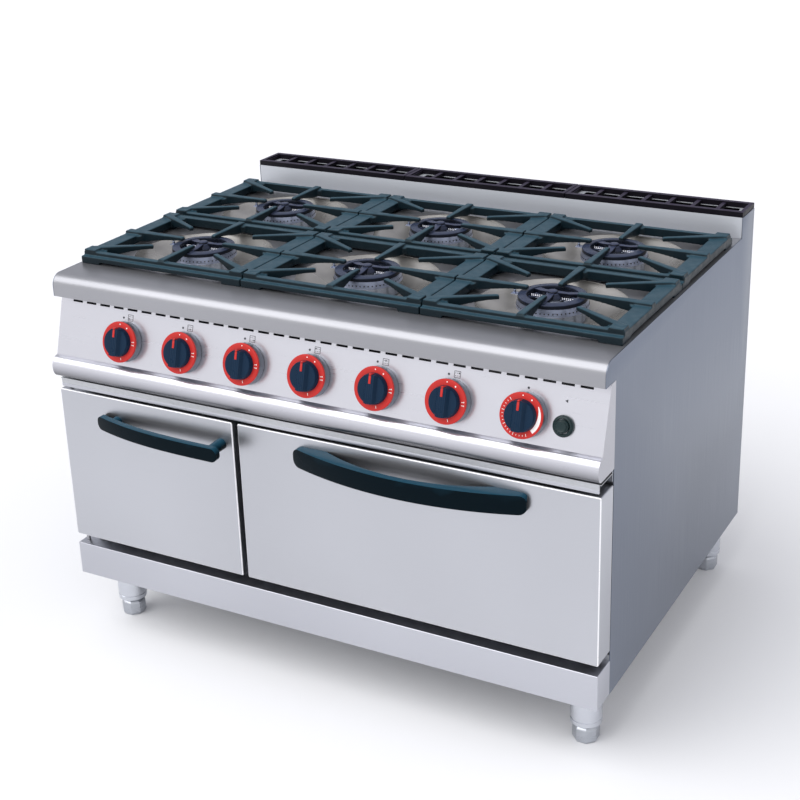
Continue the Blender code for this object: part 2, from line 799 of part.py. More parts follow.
def burners():
    """Six cast burners: a body with its mixing tube under the well, and a loose three-armed cap."""
    body = turned(
        "burner_body",
        [
            (0, -0.010),
            (0.050, -0.004),
            (0.056, 0.010),
            (0.066, 0.010),
            (0.069, -0.003),
            (0.060, -0.007),
            (0.063, -0.0284),
            (0.046, -0.0284),
            (0.026, -0.072),
            (0, -0.072),
        ],
        segments=14,
    )
    mixing_z = -0.056
    run = ((0, -0.010, mixing_z), (0, -0.125, mixing_z), 0.0135)
    mixing = cylinders("mixing_tube", [run], segments=8)
    weld(body, mixing)
    cap = turned(
        "burner_cap",
        [(0.048, 0.0185), (0.062, 0.0185), (0.066, 0.0155), (0.066, 0.0103), (0.048, 0.0103)],
        segments=14,
        ring=True,
    )
    arm_bm = bmesh.new()
    for angle in (30, 150, 270):  # degrees from +X
        turn = Matrix.Rotation(math.radians(angle), 4, "Z")
        box_into(arm_bm, (0.008, -0.0075, 0.0108), (0.0555, 0.0075, 0.0178), turn)
    arms = mesh_object("cap_arms", arm_bm)
    hub = turned(
        "cap_hub",
        [(0, 0.0260), (0.010, 0.0242), (0.0145, 0.0106), (0, 0.0106)],
        segments=10,
    )
    weld(arms, hub)
    weld(cap, arms)
    labels = []
    places = []
    for row, y in zip(ROWS, BURNER_YS):
        for column, x in zip(COLUMNS, BURNER_XS):
            labels.append(f"{row}_{column}")
            places.append(Matrix.Translation((x, y, WORKTOP_Z)))
    copies(body, [f"burner_body_{label}" for label in labels], places, BURNER_METAL)
    copies(cap, [f"burner_cap_{label}" for label in labels], places, BURNER_IRON)


def finger_into(bm, root, tip, root_bottom, tip_bottom):
    """Add one grate finger: a thin web, level on top, deep at its root and shallow at its tip."""
    root = Vector((*root, 0))
    tip = Vector((*tip, 0))
    length = (tip - root).length
    along = (tip - root).normalized()
    across = Vector((-along.y, along.x, 0))
    steps = 4
    level = 0.30  # share of the length with the full depth
    half = 0.0045
    outline = [(0, GRATE_FINGER_HEIGHT), (0, root_bottom), (level * length, root_bottom)]
    for i in range(1, steps + 1):
        share = i / steps
        rise = math.sin(share * math.pi / 2)
        outline.append(
            (length * (level + (1 - level) * share), root_bottom + (tip_bottom - root_bottom) * rise)
        )
    outline.append((length, GRATE_FINGER_HEIGHT))
    near = [bm.verts.new(root + along * s - across * half + Vector((0, 0, z))) for s, z in outline]
    face = bm.faces.new(near)
    grown = bmesh.ops.extrude_face_region(bm, geom=[face])
    moved = [item for item in grown["geom"] if isinstance(item, bmesh.types.BMVert)]
    bmesh.ops.translate(bm, verts=moved, vec=across * 2 * half)


def grates():
    """Six cast pan supports: a stepped frame on four corner feet, with eight fingers."""
    half_x = GRATE_SIZE[0] / 2
    half_y = GRATE_SIZE[1] / 2
    side = 0.034
    rail = 0.022
    step = 0.010
    foot = 0.045
    arch = 0.005
    grate = boxes("grate", [((-half_x, -half_y, 0), (half_x, half_y, GRATE_SIDE_HEIGHT))])
    window = boxes(
        "grate_window",
        [((-half_x + side, -half_y + rail, -0.01), (half_x - side, half_y - rail, 0.05))],
    )
    cut(grate, window)
    steps = boxes(
        "grate_steps",
        [
            ((-0.5, -0.5, GRATE_STEP_HEIGHT), (0.5, -half_y + step, 0.05)),
            ((-0.5, half_y - step, GRATE_STEP_HEIGHT), (0.5, 0.5, 0.05)),
        ],
    )
    cut(grate, steps)
    arches_x = boxes(
        "grate_arches_x",
        [((-0.5, -half_y + foot, -0.01), (0.5, half_y - foot, arch))],
    )
    arches_y = boxes(
        "grate_arches_y",
        [((-half_x + foot, -0.5, -0.01), (half_x - foot, 0.5, arch))],
    )
    cut(grate, arches_x)
    cut(grate, arches_y)
    bm = bmesh.new()
    low = arch + 0.002
    tip_low = 0.0200
    corner_tip_low = 0.0195
    for sign in (-1, 1):
        finger_into(bm, (sign * (half_x - 0.001), 0), (sign * 0.050, 0), low, tip_low)
        finger_into(bm, (0, sign * (half_y - step - 0.003)), (0, sign * 0.036), low, tip_low)
        for other in (-1, 1):
            finger_into(
                bm,
                (sign * (half_x - 0.004), other * (half_y - 0.026)),
                (sign * 0.078, other * 0.068),
                low,
                corner_tip_low,
            )
    bmesh.ops.recalc_face_normals(bm, faces=bm.faces)
    weld(grate, mesh_object("grate_fingers", bm))
    names = []
    places = []
    for row, y in zip(ROWS, BURNER_YS):
        for column, x in zip(COLUMNS, BURNER_XS):
            names.append(f"grate_{row}_{column}")
            places.append(Matrix.Translation((x, y, WORKTOP_Z + GAP)))
    copies(grate, names, places, CAST_IRON)


# ---------------------------------------------------------------- doors


def door_skin(name, left, right):
    """A folded outer door skin: a front face with four returns, open behind."""
    back = FRONT_Y + DOOR_DEPTH
    skin = boxes(
        name, [((left, FRONT_Y, DOOR_BOTTOM_Z), (right, back, DOOR_TOP_Z))], BRUSHED_STEEL
    )
    inside = boxes(
        f"{name}_inside",
        [
            (
                (left + SHEET, FRONT_Y + SHEET, DOOR_BOTTOM_Z + SHEET),
                (right - SHEET, back + 0.01, DOOR_TOP_Z - SHEET),
            )
        ],
    )
    cut(skin, inside)
    return skin


def door_liner(name, left, right):
    """The inner tray that closes a door from behind: a back face with short forward flanges."""
    edge = SHEET + GAP
    back = FRONT_Y + DOOR_DEPTH
    flange = 0.015
    front = back - flange
    liner = boxes(
        name,
        [
            (
                (left + edge, front, DOOR_BOTTOM_Z + edge),
                (right - edge, back, DOOR_TOP_Z - edge),
            )
        ],
        GALVANISED,
    )
    inside = boxes(
        f"{name}_inside",
        [
            (
                (left + edge + SHEET, front - 0.01, DOOR_BOTTOM_Z + edge + SHEET),
                (right - edge - SHEET, back - SHEET, DOOR_TOP_Z - edge - SHEET),
            )
        ],
    )
    cut(liner, inside)
    return liner


def pull_reach(x):
    """How far the cabinet pull stands out, at x from its middle. Its left end curves in to the door."""
    share = 0.5 - x / (2 * PULL_HALF_LENGTH)
    return HANDLE_REACH - PULL_CURVE * share**3


def pull_outline(steps=12):
    """Plan outline of the cabinet pull."""
    xs = [PULL_HALF_LENGTH * (2 * i / steps - 1) for i in range(steps + 1)]
    front = [(x, -pull_reach(x)) for x in xs]
    back = [(x, BOW_THICKNESS - pull_reach(x)) for x in reversed(xs)]
    return front + back


def cabinet_door():
    """The left-hand door on its upright hinge rod, with a curved handle on two round posts."""
    left = -HALF
    right = DOOR_SPLIT_LEFT_X
    skin = door_skin("cabinet_door_outer", left, right)
    liner = door_liner("cabinet_door_inner", left, right)
    rod_hole = cylinders(
        "rod_hole",
        [
            (
                CABINET_PIVOT + Vector((0, 0, DOOR_BOTTOM_Z - CUT)),
                CABINET_PIVOT + Vector((0, 0, DOOR_TOP_Z + CUT)),
                PIN_HOLE_RADIUS,
            )
        ],
        segments=12,
    )
    cut(skin, rod_hole)
    cylinders(
        "cabinet_hinge_rod",
        [
            (
                CABINET_PIVOT + Vector((0, 0, PLINTH_TOP_Z + GAP)),
                CABINET_PIVOT + Vector((0, 0, RAIL_BOTTOM_Z - GAP)),
                PIN_RADIUS,
            )
        ],
        GALVANISED,
        segments=12,
    )
    bar_centre_x = -0.333
    bar_z = 0.516
    bar_half_height = 0.0165
    bar = extruded("cabinet_handle", pull_outline(), bar_half_height, "Z", HANDLE_PLASTIC)
    bar.location = (bar_centre_x, FRONT_Y, bar_z)
    posts = cylinders(
        "handle_posts",
        [
            (
                (x, FRONT_Y - GAP, bar_z),
                (x, FRONT_Y - pull_reach(x - bar_centre_x) + BOW_THICKNESS / 2, bar_z),
                0.0120,
            )
            for x in (-0.455, -0.198)
        ],
    )
    weld(bar, posts)
    pivot("cabinet_door_pivot", CABINET_PIVOT, [skin, liner, bar])


def oven_handle_outline(steps=12):
    """Plan outline of the oven handle: a bow whose two ends widen into feet against the door."""
    half_length = 0.244
    end_y = -0.012
    rise = HANDLE_REACH + end_y
    radius = (half_length**2 + rise**2) / (2 * rise)
    spread = math.degrees(math.asin(half_length / radius))
    front = arc((0, -HANDLE_REACH + radius), radius, 270 - spread, 270 + spread, steps)
    inner_half = 0.176
    inner_rise = HANDLE_REACH - BOW_THICKNESS - GAP
    inner_radius = (inner_half**2 + inner_rise**2) / (2 * inner_rise)
    inner_spread = math.degrees(math.asin(inner_half / inner_radius))
    inner_centre = (0, -GAP - inner_rise + inner_radius)
    back = arc(inner_centre, inner_radius, 270 + inner_spread, 270 - inner_spread, steps)
    ends = half_length - 0.004
    return front + [(ends, -GAP)] + back + [(-ends, -GAP)]


def oven_door():
    """The drop-down oven door on two hinge arms, with its seal and handle."""
    left = DOOR_SPLIT_RIGHT_X
    right = HALF
    skin = door_skin("oven_door_outer", left, right)
    liner = door_liner("oven_door_inner", left, right)
    back = FRONT_Y + DOOR_DEPTH
    centre_x = (left + right) / 2
    slots = []
    ears = []
    for x in OVEN_HINGE_XS.values():
        slots.append(
            (
                (x - 0.005, FRONT_Y + 0.008, DOOR_BOTTOM_Z - 0.01),
                (x + 0.005, back + 0.01, DOOR_BOTTOM_Z + 0.024),
            )
        )
        for side in (-1, 1):
            near = x + side * 0.006
            far = x + side * 0.009
            ears.append(
                (
                    (min(near, far), FRONT_Y + 0.008, DOOR_BOTTOM_Z + 0.0030),
                    (max(near, far), back - SHEET / 2, DOOR_BOTTOM_Z + 0.0240),
                )
            )
    weld(liner, boxes("hinge_ears", ears))
    cut(skin, boxes("skin_hinge_slots", slots))
    cut(liner, boxes("liner_hinge_slots", slots))
    pin_holes = cylinders(
        "pin_holes",
        [
            (OVEN_PIVOT + Vector((x - 0.012, 0, 0)), OVEN_PIVOT + Vector((x + 0.012, 0, 0)), PIN_HOLE_RADIUS)
            for x in OVEN_HINGE_XS.values()
        ],
        segments=8,
    )
    cut(liner, pin_holes)

    arm_half = Vector((0.003, 0, 0.0045))
    for side, x in OVEN_HINGE_XS.items():
        centre = Vector((x, OVEN_PIVOT.y, OVEN_PIVOT.z))
        near = centre - Vector((arm_half.x, 0, arm_half.z))
        far = Vector((x, CASE_Y - GAP, centre.z)) + arm_half
        arm = boxes(f"oven_hinge_{side}", [(near, far)], GALVANISED)
        for label, half_width, radius in (("knuckle", 0.0033, 0.0075), ("pin", 0.0095, PIN_RADIUS)):
            sideways = Vector((half_width, 0, 0))
            run = (centre - sideways, centre + sideways, radius)
            weld(arm, cylinders(f"hinge_{label}_{side}", [run], segments=12))

    seal_low = (OVEN_INSIDE_X[0] - 0.016, back + GAP, OVEN_INSIDE_Z[0] - 0.010)
    seal_high = (OVEN_INSIDE_X[1] + 0.016, CASE_Y - GAP, OVEN_INSIDE_Z[1] + 0.013)
    seal = boxes("oven_door_seal", [(seal_low, seal_high)], SEAL_RUBBER)
    ring = 0.008
    seal_inside = boxes(
        "seal_inside",
        [
            (
                (seal_low[0] + ring, back - 0.01, seal_low[2] + ring),
                (seal_high[0] - ring, CASE_Y + 0.01, seal_high[2] - ring),
            )
        ],
    )
    cut(seal, seal_inside)

    handle = extruded("oven_handle", oven_handle_outline(), 0.019, "Z", HANDLE_PLASTIC)
    handle.location = (centre_x, FRONT_Y, 0.528)
    pivot("oven_door_pivot", OVEN_PIVOT, [skin, liner, seal, handle])


# ---------------------------------------------------------------- oven


def oven():
    """The oven box with its front flange and shelf runners, the wire shelf and the tube burner."""
    front = CASE_Y
    low = Vector((OVEN_INSIDE_X[0], front, OVEN_INSIDE_Z[0]))
    high = Vector((OVEN_INSIDE_X[1], OVEN_BACK_Y, OVEN_INSIDE_Z[1]))
    wall = Vector((SHEET, 0, SHEET))
    cavity = boxes(
        "oven_cavity",
        [
            (
                (PARTITION_X + 0.004, front + 0.0002, FLOOR_Z + 0.0008),
                (INNER_X - GAP, front + SHEET, RAIL_BOTTOM_Z - GAP),
            )
        ],
        DARK_STEEL,
    )
    shell = boxes(
        "oven_shell",
        [(low - wall + Vector((0, SHEET / 2, 0)), high + wall + Vector((0, SHEET, 0)))],
    )
    weld(cavity, shell)
    cut(cavity, boxes("oven_inside", [(low - Vector((0, 0.01, 0)), high)]))
    runner = 0.010
    runner_z = 0.392
    runner_height = 0.004
    runners = boxes(
        "shelf_runners",
        [
            (
                (low.x - SHEET / 2, front + 0.030, runner_z),
                (low.x + runner, OVEN_BACK_Y - 0.020, runner_z + runner_height),
            ),
            (
                (high.x - runner, front + 0.030, runner_z),
                (high.x + SHEET / 2, OVEN_BACK_Y - 0.020, runner_z + runner_height),
            ),
        ],
    )
    weld(cavity, runners)

    shelf_low = Vector((low.x + 0.003, front + 0.040, runner_z + runner_height + GAP))
    shelf_high = Vector((high.x - 0.003, OVEN_BACK_Y - 0.030, runner_z + 0.0095))
    shelf = boxes("oven_shelf", [(shelf_low, shelf_high)], BRUSHED_STEEL)
    gaps = 9
    rim = 0.006
    cross_bar = 0.303  # from the shelf's front edge
    pitch = (shelf_high.x - shelf_low.x - rim) / gaps
    spaces = []
    for i in range(gaps):
        x = shelf_low.x + rim + pitch * i
        for start, end in ((rim, cross_bar), (cross_bar + rim, shelf_high.y - shelf_low.y - rim)):
            spaces.append(
                (
                    (x, shelf_low.y + start, shelf_low.z - 0.01),
                    (x + pitch - rim, shelf_low.y + end, shelf_high.z + 0.01),
                )
            )
    cut(shelf, boxes("shelf_spaces", spaces))

    bend = 0.060
    z = OVEN_INSIDE_Z[0] + 0.030
    centre_x = (low.x + high.x) / 2
    reach = 0.130
    near_y = front + 0.110
    path = [(centre_x - reach, OVEN_BACK_Y - GAP, z)]
    path += [(x, y, z) for x, y in arc((centre_x - reach + bend, near_y + bend), bend, 180, 270, 5)]
    path += [(x, y, z) for x, y in arc((centre_x + reach - bend, near_y + bend), bend, 270, 360, 5)]
    path.append((centre_x + reach, OVEN_BACK_Y - GAP, z))
    tube("oven_burner", path, 0.014, DARK_STEEL)


# ---------------------------------------------------------------- build

legs_and_feet()
plinth()
chassis()
side_panels()
back_panel()
hob_top()
upstand()
flue_grilles()
control_panel()
knobs()
ignition()
gas_manifold()
burners()
grates()
cabinet_door()
oven_door()
oven()
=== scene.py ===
"""Looks of a commercial gas range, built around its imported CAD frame.

Metres, +Z up. +X is the cook's right and the doors face -Y. Places come from the frame's boxes and joints.
"""

import json
import math

import bmesh
import bpy
from mathutils import Matrix, Vector


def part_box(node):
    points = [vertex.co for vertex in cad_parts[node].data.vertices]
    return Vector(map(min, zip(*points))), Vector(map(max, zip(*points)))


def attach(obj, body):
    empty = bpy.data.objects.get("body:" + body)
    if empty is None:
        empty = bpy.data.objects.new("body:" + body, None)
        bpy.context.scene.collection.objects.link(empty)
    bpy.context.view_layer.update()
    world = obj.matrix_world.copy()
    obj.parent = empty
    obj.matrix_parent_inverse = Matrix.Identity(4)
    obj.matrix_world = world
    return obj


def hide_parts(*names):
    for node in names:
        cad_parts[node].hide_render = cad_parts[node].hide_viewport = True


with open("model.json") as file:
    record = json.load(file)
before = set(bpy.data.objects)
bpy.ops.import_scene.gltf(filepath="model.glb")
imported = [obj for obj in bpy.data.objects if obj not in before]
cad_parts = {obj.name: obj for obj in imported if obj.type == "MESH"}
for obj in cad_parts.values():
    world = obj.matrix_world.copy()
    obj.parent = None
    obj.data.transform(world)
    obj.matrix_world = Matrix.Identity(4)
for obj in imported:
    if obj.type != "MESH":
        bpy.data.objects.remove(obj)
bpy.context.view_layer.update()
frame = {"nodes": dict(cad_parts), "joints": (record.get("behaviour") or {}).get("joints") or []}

# ---- places, from the frame

BODY = "range_body"
JOINTS = {joint["name"]: joint for joint in frame["joints"]}
ROWS = ("front", "back")
COLUMNS = ("left", "middle", "right")
LABELS = [f"{row}_{column}" for row in ROWS for column in COLUMNS]
CORNERS = [f"{end}_{side}" for end in ROWS for side in ("left", "right")]
KNOBS = [f"knob_burner_{i + 1}" for i in range(6)] + ["knob_oven"]

SHEET = 0.0015
CUT = 0.01
PANEL_LOW, PANEL_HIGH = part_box("control_panel")
TOP_LOW, TOP_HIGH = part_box("hob_top")
UPSTAND_LOW, UPSTAND_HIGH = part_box("upstand")
SIDE_LOW, SIDE_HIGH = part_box("side_panel_right")
PLINTH_LOW, PLINTH_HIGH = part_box("plinth")
OVEN_DOOR_LOW, OVEN_DOOR_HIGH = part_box("oven_door_outer")

HALF = SIDE_HIGH.x
FRONT_Y = OVEN_DOOR_LOW.y
BACK_Y = SIDE_HIGH.y
WORKTOP_Z = TOP_HIGH.z
CASE_Y = PANEL_HIGH.y
KNOB_AT = {name: Vector(JOINTS[f"{name}_turn"]["pos_m"]) for name in KNOBS}
PANEL_NORMAL = Vector(JOINTS["knob_oven_turn"]["axis"]).normalized()
PANEL_TILT = math.atan2(PANEL_NORMAL.z, -PANEL_NORMAL.y)
ON_PANEL = Matrix.Rotation(math.pi / 2 - PANEL_TILT, 4, "X")


def middle(node):
    low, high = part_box(node)
    return (low + high) / 2


BURNER_AT = {label: middle(f"burner_cap_{label}").xy.to_3d() + Vector((0, 0, WORKTOP_Z)) for label in LABELS}
BUTTON_DROP = 0.008  # the button sits this far down the slope from the knobs' line
BUTTON_AT = KNOB_AT["knob_oven"] - ON_PANEL.to_3x3() @ Vector((0, BUTTON_DROP, 0))
BUTTON_AT.x = middle("ignition_button").x


# ---- materials


def remapped(tree, source, low, high, start, end):
    """Map a value from start..end to low..high in a node tree."""
    node = tree.nodes.new("ShaderNodeMapRange")
    for socket, value in (("From Min", start), ("From Max", end), ("To Min", low), ("To Max", high)):
        node.inputs[socket].default_value = value
    tree.links.new(source, node.inputs["Value"])
    return node.outputs["Result"]


class Finish:
    """A Principled material, with short names for the nodes that give it its detail."""

    def __init__(self, name, colour, roughness, metallic=0.0):
        self.material = bpy.data.materials.new(name)
        self.material.use_nodes = True
        self.nodes = self.material.node_tree.nodes
        self.links = self.material.node_tree.links
        self.shader = self.nodes["Principled BSDF"]
        self.colour = colour
        self.roughness = roughness
        self.set("Base Color", (*colour, 1))
        self.set("Roughness", roughness)
        self.set("Metallic", metallic)
        self.place = self.nodes.new("ShaderNodeTexCoord").outputs["Object"]

    def set(self, socket, value):
        self.shader.inputs[socket].default_value = value

    def noise(self, stretch, detail=3.0):
        """Noise whose grains are 1 / stretch metres long on each axis."""
        mapping = self.nodes.new("ShaderNodeMapping")
        mapping.inputs["Scale"].default_value = stretch
        self.links.new(self.place, mapping.inputs["Vector"])
        grain = self.nodes.new("ShaderNodeTexNoise")
        grain.inputs["Scale"].default_value = 1.0
        grain.inputs["Detail"].default_value = detail
        self.links.new(mapping.outputs["Vector"], grain.inputs["Vector"])
        return grain.outputs["Fac"]

    def spread(self, source, low, high, start=0.3, end=0.7):
        return remapped(self.material.node_tree, source, low, high, start, end)

    def upward(self, source, mixed=0.12):
        """How far the surface faces up, from -1 to 1, broken up a little by a noise: the mask for painted
        light from above.
        """
        split = self.nodes.new("ShaderNodeSeparateXYZ")
        self.links.new(self.place.node.outputs["Normal"], split.inputs["Vector"])
        total = self.nodes.new("ShaderNodeMath")
        total.operation = "ADD"
        self.links.new(split.outputs["Z"], total.inputs[0])
        self.links.new(self.spread(source, -mixed, mixed), total.inputs[1])
        return total.outputs["Value"]

    def vary_roughness(self, source, amount):
        result = self.spread(source, self.roughness - amount, self.roughness + amount)
        self.links.new(result, self.shader.inputs["Roughness"])

    def vary_colour(self, source, dark, light, start=0.3, end=0.7):
        """Blend from the colour times dark to the colour times light."""
        ramp = self.nodes.new("ShaderNodeMix")
        ramp.data_type = "RGBA"
        tones = [(*(min(channel * share, 1) for channel in self.colour), 1) for share in (dark, light)]
        ramp.inputs["A"].default_value, ramp.inputs["B"].default_value = tones
        self.links.new(self.spread(source, 0, 1, start, end), ramp.inputs["Factor"])
        self.links.new(ramp.outputs["Result"], self.shader.inputs["Base Color"])

    def bump(self, source, strength, distance):
        node = self.nodes.new("ShaderNodeBump")
        node.inputs["Strength"].default_value = strength
        node.inputs["Distance"].default_value = distance
        self.links.new(source, node.inputs["Height"])
        self.links.new(node.outputs["Normal"], self.shader.inputs["Normal"])


def steel(name, colour, roughness, along="X", brush=0.04, metallic=1.0, under=None):
    """Brushed stainless sheet. The brush lines run along one axis. under paints shade: what faces down is
    darkened to under times the colour, upright faces less so.
    """
    made = Finish(name, colour, roughness, metallic)
    fine, coarse = 420.0, 6.0
    lines = made.noise([coarse if axis == along else fine for axis in "XYZ"], 4.0)
    made.vary_roughness(lines, 0.03)
    made.bump(lines, brush, 0.0002)
    clouds = made.noise((2.2, 2.2, 2.2), 1.0)
    if under is None:
        made.vary_colour(clouds, 0.95, 1.04)
    else:
        made.vary_colour(made.upward(clouds, 0.04), under, 1.02, -0.55, 0.22)
    return made.material


def pressed(name, colour, roughness):
    """Smooth pressed steel with faint heat tints."""
    made = Finish(name, colour, roughness, 0.6)
    made.vary_roughness(made.noise((9, 9, 9), 2.0), 0.05)
    made.vary_colour(made.noise((7, 7, 30), 2.0), 0.72, 1.22)
    return made.material


def galvanised(name, colour, roughness):
    """Zinc-coated sheet with its soft spangle."""
    made = Finish(name, colour, roughness, 0.9)
    spangle = made.nodes.new("ShaderNodeTexVoronoi")
    spangle.inputs["Scale"].default_value = 90.0
    made.links.new(made.place, spangle.inputs["Vector"])
    made.vary_colour(spangle.outputs["Distance"], 0.97, 1.04, 0.0, 0.8)
    made.vary_roughness(made.noise((160, 160, 160)), 0.08)
    return made.material


def cast(name, colour, roughness, grain=650.0, relief=0.35, top=2.6):
    """Enamelled casting: sandy surface, uneven gloss, and painted light: upward faces are painted paler, up
    to top times the colour, and sides and undersides darker, a painted highlight and painted shade.
    """
    made = Finish(name, colour, roughness)
    made.set("Specular IOR Level", 0.18)
    sand = made.noise((grain, grain, grain), 2.0)
    made.bump(sand, relief, 0.0004)
    made.vary_roughness(made.noise((45, 45, 45)), 0.09)
    made.vary_colour(made.upward(made.noise((60, 60, 60))), 0.45, top, 0.15, 1.0)
    return made.material


def moulded(name, colour, roughness, coat=0.0, relief=0.04, gloss=0.5, top=None):
    """Moulded plastic with a faint orange-peel surface. top paints a highlight on its upward faces and shade
    on its sides and undersides.
    """
    made = Finish(name, colour, roughness)
    made.set("Specular IOR Level", gloss)
    made.set("Coat Weight", coat)
    made.set("Coat Roughness", 0.08)
    made.bump(made.noise((500, 500, 500), 2.0), relief, 0.0002)
    made.vary_roughness(made.noise((30, 30, 30)), 0.05)
    if top is None:
        made.vary_colour(made.noise((14, 14, 14)), 0.92, 1.08)
    else:
        made.vary_colour(made.upward(made.noise((14, 14, 14))), 0.6, top, 0.10, 0.90)
    return made.material


def turned_metal(name, colour, roughness, metallic=1.0):
    """Machined or polished metal with fine turning marks across its height."""
    made = Finish(name, colour, roughness, metallic)
    rings = made.noise((25, 25, 900), 3.0)
    made.vary_roughness(rings, 0.05)
    made.bump(rings, 0.04, 0.0002)
    made.vary_colour(made.noise((18, 18, 18)), 0.9, 1.08)
    return made.material


# Painted shade: the side sheets are the same stainless steel as the front, given a darker, bluer colour.
STEEL_SIDE_SHADED = steel("steel_side_shaded", (0.200, 0.225, 0.278), 0.36, "Z")
# under=0.30 paints shade on the panel's downward faces, the bumper's underside most, and partly on its
# upright faces.
STEEL_PANEL = steel("steel_panel", (0.59, 0.59, 0.635), 0.30, brush=0.015, under=0.30)
STEEL_WELL = pressed("steel_well", (0.44, 0.425, 0.405), 0.26)
STEEL_TOP = steel("steel_top", (0.340, 0.342, 0.365), 0.31, brush=0.012, metallic=0.75)
STEEL_DOOR = steel("steel_door", (0.525, 0.535, 0.570), 0.33)
# A near-white steel for the doors' rounded front edges: a painted highlight.
STEEL_EDGE_HIGHLIGHT = steel("steel_edge_highlight", (0.95, 0.95, 0.98), 0.30, metallic=0.25)
STEEL_PLINTH = steel("steel_plinth", (0.53, 0.54, 0.585), 0.32)
STEEL_UPSTAND = steel("steel_upstand", (0.50, 0.52, 0.56), 0.45, metallic=0.45)
STEEL_LEG = steel("steel_leg", (0.60, 0.62, 0.67), 0.20, "Z")
FOOT_METAL = turned_metal("foot_metal", (0.46, 0.48, 0.52), 0.30)
ZINC = galvanised("galvanised_sheet", (0.50, 0.51, 0.53), 0.45)
HINGE_STEEL = turned_metal("hinge_steel", (0.42, 0.42, 0.44), 0.38)
OVEN_ENAMEL = moulded("oven_enamel", (0.030, 0.031, 0.036), 0.30, coat=0.3)
SHELF_WIRE = turned_metal("shelf_wire", (0.62, 0.63, 0.66), 0.18)
# GRATE_IRON, FLUE_IRON, CAP_IRON and HUB_IRON carry painted light: their top argument paints their upward
# faces paler, a painted highlight, and their sides darker, painted shade.
GRATE_IRON = cast("grate_iron", (0.0110, 0.0285, 0.0400), 0.40, top=2.3)
FLUE_IRON = cast("flue_iron", (0.0095, 0.0070, 0.0150), 0.48, 800.0)
CAP_IRON = cast("burner_cap_iron", (0.016, 0.021, 0.038), 0.30, 900.0, 0.2, top=2.2)
HUB_IRON = cast("burner_hub_iron", (0.012, 0.015, 0.028), 0.30, 900.0, 0.2, top=3.5)
BURNER_METAL = turned_metal("burner_metal", (0.40, 0.44, 0.52), 0.17)
BURNER_RING = turned_metal("burner_ring", (0.44, 0.49, 0.64), 0.30)
# Near-black inside of the flue box: painted shade.
FLUE_SHADE = moulded("flue_shade", (0.012, 0.011, 0.014), 0.80, gloss=0.2)
# Black dots that stand in for the dark port holes: painted shade.
PORT_SHADE = moulded("port_shade", (0.006, 0.006, 0.010), 0.60)
BRIGHT_METAL = turned_metal("bright_metal", (0.86, 0.87, 0.92), 0.15)
KNOB_RED = moulded("knob_red", (0.50, 0.024, 0.020), 0.36, gloss=0.25)
KNOB_NAVY = moulded("knob_navy", (0.005, 0.020, 0.046), 0.32, relief=0.12, gloss=0.12)
KNOB_SKIRT = turned_metal("knob_skirt", (0.22, 0.235, 0.265), 0.36)
MARK_WHITE = moulded("mark_white", (0.90, 0.86, 0.85), 0.45)
MARK_BLACK = moulded("mark_black", (0.030, 0.032, 0.040), 0.50)
# top=7.0 paints a highlight on the handles' upward faces and shade on their fronts and undersides.
HANDLE_BLACK = moulded("handle_black", (0.0016, 0.0085, 0.0140), 0.20, gloss=0.05, top=7.0)
BUTTON_BLACK = moulded("button_black", (0.006, 0.020, 0.022), 0.28, gloss=0.30)
SEAL_CORD = moulded("seal_cord", (0.055, 0.055, 0.055), 0.85, relief=0.6)
BRASS = turned_metal("gas_brass", (0.66, 0.48, 0.21), 0.33)

# ---- making pieces


def piece(name, mesh, finish, body=BODY, replaces=(), place=None):
    """Put a mesh in the scene as a piece that rides on a body."""
    made = bpy.data.objects.new(name, mesh)
    bpy.context.scene.collection.objects.link(made)
    if place is not None:
        made.matrix_world = place
    if not mesh.materials:
        mesh.materials.append(finish)
    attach(made, body)
    if replaces:
        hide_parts(*replaces)
    return made


SHARPEST_SMOOTH = 30  # degrees: a bend sharper than this gets a rounded edge


def object_of(name, bm):
    """A new object that takes over a bmesh."""
    mesh = bpy.data.meshes.new(name)
    bm.to_mesh(mesh)
    bm.free()
    made = bpy.data.objects.new(name, mesh)
    bpy.context.scene.collection.objects.link(made)
    return made


def soften(bm, name, width=0.0, segments=3, sharp=32, tools=(), steps=()):
    """Finish a bmesh as a mesh: Boolean tools, other modifiers, rounded edges and then smooth shading."""
    helper = object_of(name, bm)
    used = [helper]
    for operation, tool in tools:
        step = helper.modifiers.new(operation, "BOOLEAN")
        step.operation = operation
        step.solver = "EXACT"
        step.object = object_of("tool", tool)
        used.append(step.object)
    for kind, settings in steps:
        step = helper.modifiers.new(kind, kind)
        for key, value in settings.items():
            setattr(step, key, value)
    if width:
        edge = helper.modifiers.new("edges", "BEVEL")
        edge.width = width
        edge.segments = segments
        edge.limit_method = "ANGLE"
        edge.angle_limit = math.radians(SHARPEST_SMOOTH)
    bpy.context.view_layer.update()
    done = bpy.data.meshes.new_from_object(helper.evaluated_get(bpy.context.evaluated_depsgraph_get()))
    done.name = name
    for spent in used:
        data = spent.data
        bpy.data.objects.remove(spent, do_unlink=True)
        bpy.data.meshes.remove(data)
    done.shade_smooth()
    done.set_sharp_from_angle(angle=math.radians(sharp))
    return done


def paint(mesh, main, other, chosen):
    """Give a mesh two finishes: other goes on the faces whose centre and normal are chosen."""
    mesh.materials.clear()
    mesh.materials.append(main)
    mesh.materials.append(other)
    for face in mesh.polygons:
        face.material_index = int(chosen(face.center, face.normal))


def reopened(mesh):
    """A finished mesh as a bmesh again, for more work."""
    bm = bmesh.new()
    bm.from_mesh(mesh)
    return bm


def add_box(bm, corner, opposite, turn=None):
    """A box between any two opposite corners."""
    low = Vector([min(pair) for pair in zip(corner, opposite)])
    high = Vector([max(pair) for pair in zip(corner, opposite)])
    place = Matrix.Translation((low + high) / 2) @ Matrix.Diagonal((*(high - low), 1))
    bmesh.ops.create_cube(bm, size=1, matrix=place if turn is None else turn @ place)


